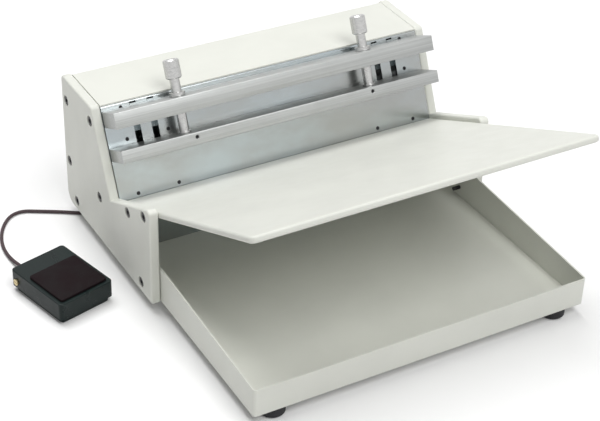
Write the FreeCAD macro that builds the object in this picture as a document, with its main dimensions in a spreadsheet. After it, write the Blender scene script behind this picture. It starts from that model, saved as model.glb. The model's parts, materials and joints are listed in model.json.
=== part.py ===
"""Pedal-operated binding press: two side plates, a slanted jaw panel, a tilted work table and a tray.

The powered upper jaw slides down the slanted face, driven by two scroll cams on a cross shaft.
Lengths are millimetres and angles are degrees.  X runs along the jaws, -Y is the operator's side
and +Z is up.  The origin lies on the floor, in the middle of the machine together with its pedal.
"""
import FreeCAD, Part
import math
import os

import Sketcher
from FreeCAD import Placement, Rotation, Vector

doc = FreeCAD.newDocument("binding_press")
sheet = doc.addObject("Spreadsheet::Sheet", "Sizes")
sub_parts = []


class Size:
    """A number together with the text that ties it to the sheet."""

    def __init__(self, number, text):
        self.number = float(number)
        self.text = text

    def __float__(self):
        return self.number

    def __add__(self, other):
        other = as_size(other)
        return Size(self.number + other.number, f"({self.text} + {other.text})")

    def __sub__(self, other):
        other = as_size(other)
        return Size(self.number - other.number, f"({self.text} - {other.text})")

    def __mul__(self, other):
        other = as_size(other)
        return Size(self.number * other.number, f"({self.text} * {other.text})")

    def __truediv__(self, other):
        other = as_size(other)
        return Size(self.number / other.number, f"({self.text} / {other.text})")

    def __neg__(self):
        return self * -1

    def __radd__(self, other):
        return as_size(other) + self

    def __rsub__(self, other):
        return as_size(other) - self

    def __rmul__(self, other):
        return self * other


def as_size(value):
    """Returns a plain number as a size of its own."""
    return value if isinstance(value, Size) else Size(value, repr(float(value)))


def sin(angle):
    """Returns the sine of an angle in degrees."""
    return Size(math.sin(math.radians(angle.number)), f"sin({angle.text} * 1 deg)")


def cos(angle):
    """Returns the cosine of an angle in degrees."""
    return Size(math.cos(math.radians(angle.number)), f"cos({angle.text} * 1 deg)")


def size(alias, number):
    """Writes one driving dimension into the next row of the sheet."""
    size.row += 1
    sheet.set(f"A{size.row}", alias)
    sheet.set(f"B{size.row}", str(number))
    sheet.setAlias(f"B{size.row}", alias)
    return Size(number, f"Sizes.{alias}")


size.row = 0


# Driving dimensions of the housing
inner_width = size("inner_width", 360.0)
plate_thickness = size("plate_thickness", 10.0)
plate_edge_round = size("plate_edge_round", 2.0)
plate_corner_round = size("plate_corner_round", 5.0)
plate_heel_round = size("plate_heel_round", 14.0)
foot_height = size("foot_height", 12.0)
foot_radius = size("foot_radius", 12.5)
foot_inset = size("foot_inset", 26.0)
foot_setback = size("foot_setback", 14.0)
rear_foot_setback = size("rear_foot_setback", 44.0)
housing_top = size("housing_top", 160.0)
housing_depth = size("housing_depth", 74.0)
slant = size("slant", 25.0)
face_length = size("face_length", 92.5)
shoulder_depth = size("shoulder_depth", 205.0)
sheet_metal = size("sheet_metal", 1.5)
fit_gap = size("fit_gap", 0.3)
running_gap = size("running_gap", 0.05)
cover_drop = size("cover_drop", 0.5)
cover_setback = size("cover_setback", 4.0)
cover_flange = size("cover_flange", 12.0)
cover_bend = size("cover_bend", 2.5)
panel_lip = size("panel_lip", 16.0)
panel_bend = size("panel_bend", 2.6)
panel_flange = size("panel_flange", 20.0)
flange_screw_drop = size("flange_screw_drop", 14.0)
panel_reach = size("panel_reach", 104.0)
screw_radius = size("screw_radius", 2.0)
counterbore_radius = size("counterbore_radius", 5.5)
counterbore_depth = size("counterbore_depth", 4.5)
screw_head_radius = size("screw_head_radius", 4.5)
screw_head_height = size("screw_head_height", 4.0)
screw_socket = size("screw_socket", 2.0)
screw_socket_depth = size("screw_socket_depth", 2.5)
screw_hold = size("screw_hold", 10.0)
tie_radius = size("tie_radius", 5.0)
rear_tie_setback = size("rear_tie_setback", 11.0)
rear_tie_high = size("rear_tie_high", 135.0)
rear_tie_low = size("rear_tie_low", 64.5)
front_tie_depth = size("front_tie_depth", 87.0)
front_tie_height = size("front_tie_height", 64.5)
base_flange = size("base_flange", 18.0)
base_screw_setback = size("base_screw_setback", 25.0)
base_screw_rise = size("base_screw_rise", 11.5)

# Driving dimensions of the table and the tray
table_drop = size("table_drop", 97.0)
table_reach = size("table_reach", 295.0)
table_thickness = size("table_thickness", 6.5)
table_edge_round = size("table_edge_round", 2.4)
table_corner_round = size("table_corner_round", 7.0)
table_screw_first = size("table_screw_first", 43.0)
table_screw_pitch = size("table_screw_pitch", 40.0)
tray_front = size("tray_front", 393.0)
tray_wall = size("tray_wall", 1.5)
tray_gap = size("tray_gap", 0.5)
tray_front_rise = size("tray_front_rise", 29.5)
tray_back_rise = size("tray_back_rise", 42.5)
tray_corner_round = size("tray_corner_round", 3.0)
tray_screw_depth = size("tray_screw_depth", 182.0)
tray_screw_rise = size("tray_screw_rise", 11.4)

# Driving dimensions of the jaws, measured down the slanted face and out from it
jaw_depth = size("jaw_depth", 32.0)
jaw_gap = size("jaw_gap", 0.3)
upper_jaw_drop = size("upper_jaw_drop", 7.2)
upper_jaw_height = size("upper_jaw_height", 15.6)
lower_jaw_drop = size("lower_jaw_drop", 44.0)
lower_jaw_height = size("lower_jaw_height", 12.5)
jaw_travel = size("jaw_travel", 10.0)
jaw_end_gap = size("jaw_end_gap", 0.4)
slot_drop = size("slot_drop", 3.2)
slot_length = size("slot_length", 46.0)
slot_width = size("slot_width", 7.0)
slot_pitch = size("slot_pitch", 18.5)
guide_offset = size("guide_offset", 137.5)
guide_width = size("guide_width", 60.0)
guide_depth = size("guide_depth", 14.0)
guide_drop = size("guide_drop", 4.3)
guide_length = size("guide_length", 95.7)
guide_screw_spread = size("guide_screw_spread", 22.0)
guide_screw_high = size("guide_screw_high", 6.8)
guide_screw_mid = size("guide_screw_mid", 38.5)
guide_screw_low = size("guide_screw_low", 93.0)
panel_screw_radius = size("panel_screw_radius", 1.9)
panel_screw_length = size("panel_screw_length", 10.0)
lug_drop = size("lug_drop", 5.2)
lug_height = size("lug_height", 15.0)
lug_side_gap = size("lug_side_gap", 0.2)
carriage_drop = size("carriage_drop", 9.0)
carriage_height = size("carriage_height", 26.0)
carriage_thickness = size("carriage_thickness", 4.0)
carriage_half_length = size("carriage_half_length", 150.0)
backing_thickness = size("backing_thickness", 10.0)
backing_half_length = size("backing_half_length", 104.0)
lower_screw_offset = size("lower_screw_offset", 100.0)
lower_screw_drop = size("lower_screw_drop", 4.7)
lower_screw_radius = size("lower_screw_radius", 1.8)
lower_screw_recess = size("lower_screw_recess", 1.0)

# Driving dimensions of the jaw opening adjusters
rod_offset = size("rod_offset", 105.5)
rod_standoff = size("rod_standoff", 16.0)
rod_radius = size("rod_radius", 5.0)
rod_hole_gap = size("rod_hole_gap", 0.4)
rod_journal_radius = size("rod_journal_radius", 3.0)
rod_journal_depth = size("rod_journal_depth", 9.0)
rod_collar_radius = size("rod_collar_radius", 6.5)
rod_collar_height = size("rod_collar_height", 1.4)
knob_rise = size("knob_rise", 10.0)
knob_height = size("knob_height", 19.0)
knob_radius = size("knob_radius", 8.0)
knob_chamfer = size("knob_chamfer", 1.2)
stop_radius = size("stop_radius", 8.0)
stop_height = size("stop_height", 3.4)
stop_pin_offset = size("stop_pin_offset", 6.6)
stop_pin_radius = size("stop_pin_radius", 1.2)
stop_pin_length = size("stop_pin_length", 13.0)

# Driving dimensions of the drive
shaft_drop = size("shaft_drop", 60.0)
shaft_behind = size("shaft_behind", 56.0)
shaft_radius = size("shaft_radius", 6.0)
cam_offset = size("cam_offset", 45.0)
cam_thickness = size("cam_thickness", 10.0)
cam_radius = size("cam_radius", 33.0)
cam_lift_radius = size("cam_lift_radius", 27.0)
cam_sweep = size("cam_sweep", 170.0)
cam_overrun = size("cam_overrun", 4.0)
groove_depth = size("groove_depth", 5.0)
groove_gap = size("groove_gap", 0.25)
follower_radius = size("follower_radius", 3.0)
arm_thickness = size("arm_thickness", 6.0)
arm_half_height = size("arm_half_height", 9.0)
arm_overhang = size("arm_overhang", 7.0)
stand_offset = size("stand_offset", 26.0)
stand_thickness = size("stand_thickness", 12.0)
stand_radius = size("stand_radius", 15.0)
stand_foot = size("stand_foot", 26.0)
stand_foot_height = size("stand_foot_height", 6.0)
bearing_radius = size("bearing_radius", 10.0)
coupling_start = size("coupling_start", 108.0)
coupling_length = size("coupling_length", 26.0)
coupling_radius = size("coupling_radius", 12.0)
gearbox_start = size("gearbox_start", 137.0)
gearbox_width = size("gearbox_width", 29.0)
gearbox_front = size("gearbox_front", 57.0)
gearbox_back = size("gearbox_back", 18.0)
gearbox_below = size("gearbox_below", 16.0)
gearbox_above = size("gearbox_above", 22.0)
motor_rise = size("motor_rise", 46.0)
motor_setback = size("motor_setback", 39.0)
motor_radius = size("motor_radius", 20.0)
motor_length = size("motor_length", 62.0)
motor_boss_radius = size("motor_boss_radius", 9.0)
motor_boss_length = size("motor_boss_length", 7.0)
bracket_thickness = size("bracket_thickness", 3.0)
bracket_foot = size("bracket_foot", 40.0)
output_radius = size("output_radius", 5.0)

# Driving dimensions of the electrics
board_left = size("board_left", -160.0)
board_right = size("board_right", -70.0)
board_front = size("board_front", 104.0)
board_back = size("board_back", 30.0)
board_thickness = size("board_thickness", 1.6)
standoff_height = size("standoff_height", 6.0)
standoff_radius = size("standoff_radius", 3.0)
standoff_inset = size("standoff_inset", 5.0)
transformer_length = size("transformer_length", 36.0)
transformer_width = size("transformer_width", 30.0)
transformer_height = size("transformer_height", 26.0)
relay_length = size("relay_length", 19.0)
relay_width = size("relay_width", 15.0)
relay_height = size("relay_height", 15.0)
inlet_offset = size("inlet_offset", 120.0)
inlet_height = size("inlet_height", 40.0)
inlet_width = size("inlet_width", 27.0)
inlet_rise = size("inlet_rise", 20.0)
inlet_body = size("inlet_body", 22.0)
inlet_rim = size("inlet_rim", 4.0)
inlet_rim_thickness = size("inlet_rim_thickness", 2.0)
inlet_mouth_depth = size("inlet_mouth_depth", 15.0)
inlet_wall = size("inlet_wall", 2.0)
inlet_pin_width = size("inlet_pin_width", 2.0)
inlet_pin_rise = size("inlet_pin_rise", 4.0)
inlet_pin_pitch = size("inlet_pin_pitch", 7.0)
switch_offset = size("switch_offset", 80.0)
switch_width = size("switch_width", 13.0)
switch_rise = size("switch_rise", 19.5)
switch_wall = size("switch_wall", 1.4)
switch_angle = size("switch_angle", 9.0)
switch_body = size("switch_body", 14.0)
switch_rim = size("switch_rim", 1.6)
rocker_half_rise = size("rocker_half_rise", 7.2)
rocker_depth = size("rocker_depth", 5.0)
rocker_stand = size("rocker_stand", 2.5)
rocker_pivot = size("rocker_pivot", 1.0)
trunnion_radius = size("trunnion_radius", 1.5)
vent_width = size("vent_width", 44.0)
vent_rise = size("vent_rise", 4.0)
vent_pitch = size("vent_pitch", 9.0)
vent_height = size("vent_height", 82.0)
vent_offset = size("vent_offset", 90.0)
VENT_ROWS = 6

# Driving dimensions of the pedal
pedal_side = size("pedal_side", 253.0)
pedal_depth = size("pedal_depth", 137.0)
pedal_turn = size("pedal_turn", 14.5)
pedal_width = size("pedal_width", 62.0)
pedal_length = size("pedal_length", 80.0)
pedal_height = size("pedal_height", 24.0)
pedal_wall = size("pedal_wall", 1.6)
pedal_edge_round = size("pedal_edge_round", 2.0)
pedal_skirt = size("pedal_skirt", 6.0)
pedal_side_gap = size("pedal_side_gap", 1.2)
pedal_pivot_inset = size("pedal_pivot_inset", 9.0)
pedal_pivot_height = size("pedal_pivot_height", 13.0)
pedal_pin_radius = size("pedal_pin_radius", 2.0)
pedal_pin_head = size("pedal_pin_head", 3.4)
pedal_pin_head_height = size("pedal_pin_head_height", 1.2)
pedal_base_height = size("pedal_base_height", 16.0)
pad_width = size("pad_width", 54.0)
pad_length = size("pad_length", 52.0)
pad_thickness = size("pad_thickness", 3.0)
pad_setback = size("pad_setback", 3.5)
pad_corner_round = size("pad_corner_round", 3.0)
pad_edge_round = size("pad_edge_round", 0.8)
notch_gap = size("notch_gap", 0.9)
bumper_radius = size("bumper_radius", 7.0)
bumper_inset = size("bumper_inset", 20.0)
bumper_gap = size("bumper_gap", 0.3)
micro_width = size("micro_width", 20.0)
micro_length = size("micro_length", 7.0)
micro_height = size("micro_height", 11.0)
micro_setback = size("micro_setback", 4.0)
plunger_radius = size("plunger_radius", 1.5)
plunger_height = size("plunger_height", 8.5)

# Driving dimensions of the cord
cord_radius = size("cord_radius", 1.75)
gland_offset = size("gland_offset", 34.0)
gland_height = size("gland_height", 34.0)
gland_radius = size("gland_radius", 5.5)
gland_nut_lip = size("gland_nut_lip", 1.0)
gland_length = size("gland_length", 20.0)
gland_tip_radius = size("gland_tip_radius", 2.6)
pedal_gland_length = size("pedal_gland_length", 9.0)
pedal_gland_radius = size("pedal_gland_radius", 3.4)
pedal_gland_side = size("pedal_gland_side", 7.0)
pedal_gland_height = size("pedal_gland_height", 5.2)
coil_turns = size("coil_turns", 4.5)
coil_pitch = size("coil_pitch", 4.5)
coil_inner = size("coil_inner", 11.0)
coil_side = size("coil_side", 92.0)
coil_behind = size("coil_behind", 58.0)
tie_wall = size("tie_wall", 0.9)
tie_width = size("tie_width", 6.0)
cord_clear = size("cord_clear", 0.15)
coil_lead = size("coil_lead", 16.0)

# Places that several pieces share
half_inner = inner_width / 2
half_outer = half_inner + plate_thickness
pedal_reach = pedal_side + pedal_width / 2 * cos(pedal_turn) + pedal_length / 2 * sin(pedal_turn)
machine_x = (pedal_reach - half_outer) / 2
machine_y = tray_front / 2
base_top = foot_height + sheet_metal


class Frame:
    """A place and a turn about one axis, in which pieces are drawn."""

    def __init__(self, origin, axis, angle):
        self.origin = [as_size(value) for value in origin]
        self.axis = axis
        self.angle = as_size(angle)
        self.rotation = Rotation(axis, float(self.angle))

    def point(self, local):
        """Returns a point of this frame as sizes in the part's frame."""
        x, y, z = [as_size(value) for value in local]
        c, s = cos(self.angle), sin(self.angle)
        if self.axis.x:
            turned = (x, y * c - z * s, y * s + z * c)
        else:
            turned = (x * c - y * s, x * s + y * c, z)
        return [base + value for base, value in zip(self.origin, turned)]


def bind(item, prop, value):
    """Ties one property of an object to the sheet."""
    item.setExpression(prop, as_size(value).text)


def place(item, frame, local, extra=Rotation()):
    """Puts an object at a point of a frame, turned with the frame."""
    item.Placement = Placement(Vector(0, 0, 0), frame.rotation * extra)
    for axis, value in zip("xyz", frame.point(local)):
        bind(item, f"Placement.Base.{axis}", value)
    return item


def box(name, frame, low, high):
    """Makes a box between two corners of a frame."""
    item = doc.addObject("Part::Box", name)
    for prop, a, b in zip(("Length", "Width", "Height"), low, high):
        bind(item, prop, as_size(b) - a)
    return place(item, frame, low)


TURNS = {
    "x": Rotation(Vector(0, 1, 0), 90),
    "y": Rotation(Vector(1, 0, 0), -90),
    "z": Rotation(),
}


def rod(name, frame, start, along, length, radius, end_radius=None):
    """Makes a round bar, or a taper, from a start point along one axis of a frame."""
    kind = "Part::Cylinder" if end_radius is None else "Part::Cone"
    item = doc.addObject(kind, name)
    bind(item, "Height", length)
    if end_radius is None:
        bind(item, "Radius", radius)
    else:
        bind(item, "Radius1", radius)
        bind(item, "Radius2", end_radius)
    return place(item, frame, start, TURNS[along])


def fuse(name, items):
    """Joins solids of one piece."""
    item = doc.addObject("Part::MultiFuse", name)
    item.Shapes = items
    item.Refine = True
    return item


def cut(name, base, tools):
    """Takes tools away from a piece."""
    item = doc.addObject("Part::Cut", name)
    item.Base = base
    item.Tool = tools[0] if len(tools) == 1 else fuse(f"{name}_tools", tools)
    return item


def group(name, items):
    """Holds identical pieces as separate solids of one node."""
    item = doc.addObject("Part::Compound", name)
    item.Links = items
    return item


def keep(item, label):
    """Names an object as a finished piece."""
    item.Label = label
    sub_parts.append(item)
    return item


def new_body(name, frame):
    """Starts a body whose sketches lie in a frame."""
    body = doc.addObject("PartDesign::Body", name)
    return place(body, frame, (0, 0, 0))


def new_sketch(body, role, offset=0.0):
    """Puts a sketch on an origin plane of its body, moved along the plane's normal."""
    planes = [plane for plane in body.Origin.OriginFeatures if plane.Role == role]
    sketch = body.newObject("Sketcher::SketchObject", f"{body.Name}_sketch")
    sketch.AttachmentSupport = [(planes[0], "")]
    sketch.MapMode = "FlatFace"
    bind(sketch, "AttachmentOffset.Base.z", offset)
    return sketch


def pin(sketch, kind, geometry, position, value):
    """Fixes one coordinate of a sketch point."""
    value = as_size(value)
    start = (geometry, position)
    index = sketch.addConstraint(Sketcher.Constraint(kind, -1, 1, *start, value.number))
    sketch.setExpression(f"Constraints[{index}]", value.text)


def polygon(sketch, points):
    """Draws a closed outline whose corners are tied to the sheet."""
    first = sketch.GeometryCount
    count = len(points)
    corners = [Vector(float(a), float(b), 0) for a, b in points]
    for i in range(count):
        sketch.addGeometry(Part.LineSegment(corners[i], corners[(i + 1) % count]))
    for i in range(count):
        after = first + (i + 1) % count
        sketch.addConstraint(Sketcher.Constraint("Coincident", first + i, 2, after, 1))
    for i, (a, b) in enumerate(points):
        pin(sketch, "DistanceX", first + i, 1, a)
        pin(sketch, "DistanceY", first + i, 1, b)


def rectangle(sketch, low, high):
    """Draws a rectangle between two corners."""
    polygon(sketch, [(low[0], low[1]), (high[0], low[1]), (high[0], high[1]), (low[0], high[1])])


def circle(sketch, centre, radius):
    """Draws a circle tied to the sheet."""
    radius = as_size(radius)
    middle = Vector(float(centre[0]), float(centre[1]), 0)
    index = sketch.addGeometry(Part.Circle(middle, Vector(0, 0, 1), radius.number))
    pin(sketch, "DistanceX", index, 3, centre[0])
    pin(sketch, "DistanceY", index, 3, centre[1])
    datum = sketch.addConstraint(Sketcher.Constraint("Radius", index, radius.number))
    sketch.setExpression(f"Constraints[{datum}]", radius.text)


def pad(body, sketch, length, both_ways=False):
    """Raises a sketch along its normal."""
    feature = body.newObject("PartDesign::Pad", f"{body.Name}_pad")
    feature.Profile = sketch
    feature.SideType = "Symmetric" if both_ways else "One side"
    bind(feature, "Length", length)
    doc.recompute()
    return feature


def pocket(body, sketch, length, both_ways=False, along_normal=False):
    """Cuts a sketch into its body and checks that it removed something."""
    before = body.Shape.Volume
    feature = body.newObject("PartDesign::Pocket", f"{body.Name}_pocket")
    feature.Profile = sketch
    feature.SideType = "Symmetric" if both_ways else "One side"
    feature.Reversed = along_normal
    bind(feature, "Length", length)
    doc.recompute()
    if body.Shape.Volume >= before:
        raise ValueError(f"{feature.Name} cuts nothing")
    return feature


def round_edges(body, radius, chosen):
    """Rounds the edges of a body that a test picks out."""
    last = body.Tip
    names = [f"Edge{i + 1}" for i, edge in enumerate(last.Shape.Edges) if chosen(edge)]
    if not names:
        raise ValueError(f"{body.Name} has no edge to round")
    feature = body.newObject("PartDesign::Fillet", f"{body.Name}_round")
    feature.Base = (last, names)
    bind(feature, "Radius", radius)
    doc.recompute()
    return feature


def turned(name, frame, outline):
    """Turns an outline of (radius, height) corners about the frame's Z axis."""
    body = new_body(name, frame)
    sketch = new_sketch(body, "XZ_Plane")
    polygon(sketch, outline)
    feature = body.newObject("PartDesign::Revolution", f"{name}_turn")
    feature.Profile = sketch
    feature.ReferenceAxis = (sketch, ["V_Axis"])
    feature.Angle = 360.0
    doc.recompute()
    return body


def near(edge, axis, value):
    """Says whether every end of an edge lies at one coordinate."""
    limit = 0.01
    return all(abs(getattr(vertex.Point, axis) - float(value)) < limit for vertex in edge.Vertexes)


def parallel(edge, axis):
    """Says whether a straight edge runs along one axis."""
    if edge.Curve.TypeId != "Part::GeomLine":
        return False
    return abs(abs(getattr(edge.Curve.Direction, axis)) - 1) < 1e-6


floor = Frame((machine_x, machine_y, 0), Vector(0, 0, 1), 0)
face_turn = 90 - slant
face = Frame((machine_x, machine_y - housing_depth, housing_top), Vector(1, 0, 0), face_turn)
pedal = Frame((machine_x - pedal_side, machine_y - pedal_depth, 0), Vector(0, 0, 1), pedal_turn)
SIDES = {"left": -1, "right": 1}


def face_yz(down, out):
    """Returns depth and height of a place down the slanted face and out from it."""
    depth = -housing_depth - down * sin(slant) - out * cos(slant)
    height = housing_top - down * cos(slant) + out * sin(slant)
    return depth, height


# Side plates, with the screws that hold everything between them
shoulder_y, shoulder_z = face_yz(face_length, 0)
shoulder_rise = (shoulder_depth + shoulder_y) * sin(slant) / cos(slant)
table_middle = table_drop + table_thickness / 2
side_screws = {
    "rear_high": (-rear_tie_setback, rear_tie_high),
    "rear_low": (-rear_tie_setback, rear_tie_low),
    "front_tie": (-front_tie_depth, front_tie_height),
    "panel": face_yz(flange_screw_drop, -panel_flange / 2),
    "base": (-base_screw_setback, base_top + base_screw_rise - sheet_metal),
    "tray": (-tray_screw_depth, foot_height + tray_screw_rise),
    "table_back": face_yz(table_middle, table_screw_first),
    "table_front": face_yz(table_middle, table_screw_first + table_screw_pitch),
}


def side_plate(side):
    """Makes one thick side plate with rounded edges and counterbored screw holes."""
    sign = SIDES[side]
    body = new_body(f"{side}_side_plate", floor)
    sketch = new_sketch(body, "YZ_Plane", sign * (half_inner + plate_thickness / 2))
    polygon(sketch, [
        (0, foot_height),
        (0, housing_top),
        (-housing_depth, housing_top),
        (shoulder_y, shoulder_z),
        (-shoulder_depth, shoulder_z + shoulder_rise),
        (-shoulder_depth, foot_height),
    ])
    pad(body, sketch, plate_thickness, both_ways=True)

    def corner(y, z):
        return lambda edge: parallel(edge, "x") and near(edge, "y", y) and near(edge, "z", z)

    round_edges(body, plate_heel_round, corner(0, foot_height))
    for y, z in ((0, housing_top), (-housing_depth, housing_top),
                 (-shoulder_depth, shoulder_z + shoulder_rise)):
        round_edges(body, plate_corner_round, corner(y, z))
    for x in (half_inner, half_outer):
        round_edges(body, plate_edge_round, lambda edge: near(edge, "x", sign * x))
    for radius, length, start in (
        (screw_radius + running_gap, plate_thickness * 2, half_inner + plate_thickness / 2),
        (counterbore_radius, counterbore_depth * 2, half_outer),
    ):
        holes = new_sketch(body, "YZ_Plane", sign * start)
        for centre in side_screws.values():
            circle(holes, centre, radius)
        pocket(body, holes, length, both_ways=True)
    return keep(body, f"{side}_side_plate")


def bar_x(name, frame, side, near_end, far_end, centre, radius):
    """Makes a round bar along X on one side, between two distances from the middle."""
    start = near_end if SIDES[side] > 0 else -far_end
    return rod(name, frame, (start, *centre), "x", far_end - near_end, radius)


def side_screw(side, name):
    """Makes one socket-head screw that passes through a side plate."""
    centre = side_screws[name]
    seat = half_outer - counterbore_depth
    crown = seat + screw_head_height
    label = f"{side}_{name}_screw"
    shank = bar_x(f"{label}_shank", floor, side, half_inner - screw_hold, seat, centre, screw_radius)
    head = bar_x(f"{label}_head", floor, side, seat, crown, centre, screw_head_radius)
    socket = bar_x(f"{label}_socket", floor, side, crown - screw_socket_depth, crown, centre, screw_socket)
    return cut(label, fuse(f"{label}_blank", [shank, head]), [socket])


def tapped(name, base, screws, depth, frame=floor):
    """Cuts the screw holes of both ends into a piece that spans the housing."""
    holes = []
    for side in SIDES:
        for screw in screws:
            centre = side_screws[screw]
            holes.append(bar_x(f"{name}_{side}_{screw}_hole", frame, side, half_inner - depth,
                               half_outer, centre, screw_radius + running_gap))
    return cut(name, base, holes)


for side_name in SIDES:
    side_plate(side_name)
keep(group("side_screw_set", [side_screw(side, name) for side in SIDES for name in side_screws]),
     "side_screws")

# Tie bars, base plate and covers
ties = []
for tie in ("rear_high", "rear_low", "front_tie"):
    blank = rod(f"{tie}_bar", floor, (-half_inner, *side_screws[tie]), "x", inner_width, tie_radius)
    ties.append(tapped(f"{tie}_tie", blank, [tie], screw_hold + fit_gap))
keep(group("tie_bar_set", ties), "tie_bars")

panel_foot_y, panel_foot_z = face_yz(panel_reach, 0)
sheet_half = half_inner - fit_gap
rear_inside = cover_setback + sheet_metal
base_sheets = [box("base_floor", floor, (-sheet_half, panel_foot_y, foot_height),
                   (sheet_half, -rear_inside, base_top))]
for side_name, sign in SIDES.items():
    near_x = sign * sheet_half if sign < 0 else sheet_half - sheet_metal
    base_sheets.append(box(f"base_{side_name}_flange", floor, (near_x, panel_foot_y + base_flange, base_top),
                           (near_x + sheet_metal, -rear_inside - base_flange / 2, base_top + base_flange)))
keep(tapped("base_sheet", fuse("base_blank", base_sheets), ["base"], screw_hold), "base_plate")

cover_top = housing_top - cover_drop
cover_under = cover_top - sheet_metal


def top_cover():
    """Makes the flat lid with its bent rear flange."""
    body = new_body("top_cover", floor)
    sketch = new_sketch(body, "YZ_Plane")
    front = -housing_depth - cover_drop * sin(slant) / cos(slant)
    polygon(sketch, [
        (front, cover_top),
        (front, cover_under),
        (-rear_inside, cover_under),
        (-rear_inside, cover_top - cover_flange),
        (-cover_setback, cover_top - cover_flange),
        (-cover_setback, cover_top),
    ])
    pad(body, sketch, sheet_half * 2, both_ways=True)
    round_edges(body, cover_bend, lambda edge: parallel(edge, "x") and near(edge, "y", -cover_setback)
                and near(edge, "z", cover_top))
    return keep(body, "top_cover")


top_cover()


def centred_box(name, x, z, width, rise, near_y, far_y):
    """Makes a box about a place on the rear wall."""
    return box(name, floor, (x - width / 2, near_y, z - rise / 2), (x + width / 2, far_y, z + rise / 2))


rear_top = cover_top - cover_flange - fit_gap
rear_sheet = box("rear_sheet", floor, (-sheet_half, -rear_inside, foot_height),
                 (sheet_half, -cover_setback, rear_top))
rear_cuts = [
    centred_box("inlet_window", inlet_offset, inlet_height, inlet_width + fit_gap, inlet_rise + fit_gap,
                -rear_inside, -cover_setback),
    centred_box("switch_window", switch_offset, inlet_height, switch_width + fit_gap,
                switch_rise + fit_gap, -rear_inside, -cover_setback),
    rod("gland_window", floor, (-gland_offset, -rear_inside, gland_height), "y", sheet_metal,
        gland_radius - fit_gap),
]
for row in range(VENT_ROWS):
    for side_name, sign in SIDES.items():
        rear_cuts.append(centred_box(f"vent_{side_name}_{row}", sign * vent_offset,
                                     vent_height + row * vent_pitch, vent_width, vent_rise,
                                     -rear_inside, -cover_setback))
keep(cut("rear_cover_sheet", rear_sheet, rear_cuts), "rear_cover")


def face_vn(y, z):
    """Returns a place of the upright frame as distances up the face and out from it."""
    dy, dz = y + housing_depth, z - housing_top
    return dy * sin(slant) + dz * cos(slant), dz * sin(slant) - dy * cos(slant)


guide_screws = [(spread, down) for down in (guide_screw_mid, guide_screw_low)
                for spread in (-guide_screw_spread, guide_screw_spread)]
guide_screws.append((guide_screw_spread, guide_screw_high))
slot_places = (-slot_pitch / 2, slot_pitch / 2)


def front_panel():
    """Makes the bent sheet that carries the jaws, with its slots and screw holes."""
    body = new_body("front_panel", face)
    sketch = new_sketch(body, "YZ_Plane")
    lip_y = -housing_depth - (housing_top - cover_under) * sin(slant) / cos(slant)
    skin = sheet_metal * cos(slant)
    inner_down = (housing_top - sheet_metal * sin(slant) - cover_under + sheet_metal) / cos(slant)
    inner_y = -housing_depth - inner_down * sin(slant) + skin
    foot_down = (skin - housing_depth - panel_foot_y - sheet_metal) / sin(slant)
    foot_z = housing_top - foot_down * cos(slant) - sheet_metal * sin(slant)
    outline = [
        (lip_y + panel_lip, cover_under),
        (lip_y, cover_under),
        (panel_foot_y, panel_foot_z),
        (panel_foot_y, base_top),
        (panel_foot_y + sheet_metal, base_top),
        (panel_foot_y + sheet_metal, foot_z),
        (inner_y, cover_under - sheet_metal),
        (lip_y + panel_lip, cover_under - sheet_metal),
    ]
    polygon(sketch, [face_vn(y, z) for y, z in outline])
    pad(body, sketch, sheet_half * 2, both_ways=True)
    for (y, z), radius in ((outline[1], panel_bend), (outline[6], panel_bend - sheet_metal)):
        up, out = face_vn(y, z)
        round_edges(body, radius, lambda edge: parallel(edge, "x") and near(edge, "y", up)
                    and near(edge, "z", out))
    for sign in SIDES.values():
        flange = new_sketch(body, "YZ_Plane", sign * (sheet_half - sheet_metal / 2))
        rectangle(flange, (-guide_length, -panel_flange), (-panel_bend * 2, -sheet_metal / 2))
        pad(body, flange, sheet_metal, both_ways=True)
    slots = new_sketch(body, "XY_Plane")
    holes = new_sketch(body, "XY_Plane")
    for sign in SIDES.values():
        for shift in slot_places:
            middle = sign * guide_offset + shift
            rectangle(slots, (middle - slot_width / 2, -slot_drop - slot_length),
                      (middle + slot_width / 2, -slot_drop))
        for spread, down in guide_screws:
            circle(holes, (sign * (guide_offset + spread), -down), panel_screw_radius + running_gap)
        circle(holes, (sign * lower_screw_offset, -lower_jaw_drop - lower_screw_drop),
               lower_screw_radius + running_gap)
    pocket(body, slots, sheet_metal * 2, both_ways=True)
    pocket(body, holes, sheet_metal * 2, both_ways=True)
    sides = new_sketch(body, "YZ_Plane")
    circle(sides, face_vn(*side_screws["panel"]), screw_radius + running_gap)
    pocket(body, sides, inner_width, both_ways=True)
    return keep(body, "front_panel")


front_panel()


def face_hole(name, x, down, radius, near_n, far_n):
    """Makes a round tool square to the slanted face."""
    return rod(name, face, (x, -down, near_n), "z", far_n - near_n, radius)


guide_back = -sheet_metal - guide_depth
screw_set = []
for side_name, sign in SIDES.items():
    block = box(f"{side_name}_guide_blank", face,
                (sign * guide_offset - guide_width / 2, -guide_drop - guide_length, guide_back),
                (sign * guide_offset + guide_width / 2, -guide_drop, -sheet_metal))
    tools = []
    for index, shift in enumerate(slot_places):
        middle = sign * guide_offset + shift
        tools.append(box(f"{side_name}_guide_slot_{index}", face,
                         (middle - slot_width / 2, -slot_drop - slot_length, guide_back),
                         (middle + slot_width / 2, -slot_drop, -sheet_metal)))
    for index, (spread, down) in enumerate(guide_screws):
        x = sign * (guide_offset + spread)
        tools.append(face_hole(f"{side_name}_guide_hole_{index}", x, down,
                               panel_screw_radius + running_gap, guide_back, -sheet_metal))
        screw = face_hole(f"{side_name}_screw_blank_{index}", x, down, panel_screw_radius,
                          -panel_screw_length, 0)
        dimple = face_hole(f"{side_name}_screw_socket_{index}", x, down, panel_screw_radius / 2,
                           -screw_socket_depth / 2, 0)
        screw_set.append(cut(f"{side_name}_panel_screw_{index}", screw, [dimple]))
    keep(cut(f"{side_name}_guide", block, tools), f"{side_name}_guide_block")
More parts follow.
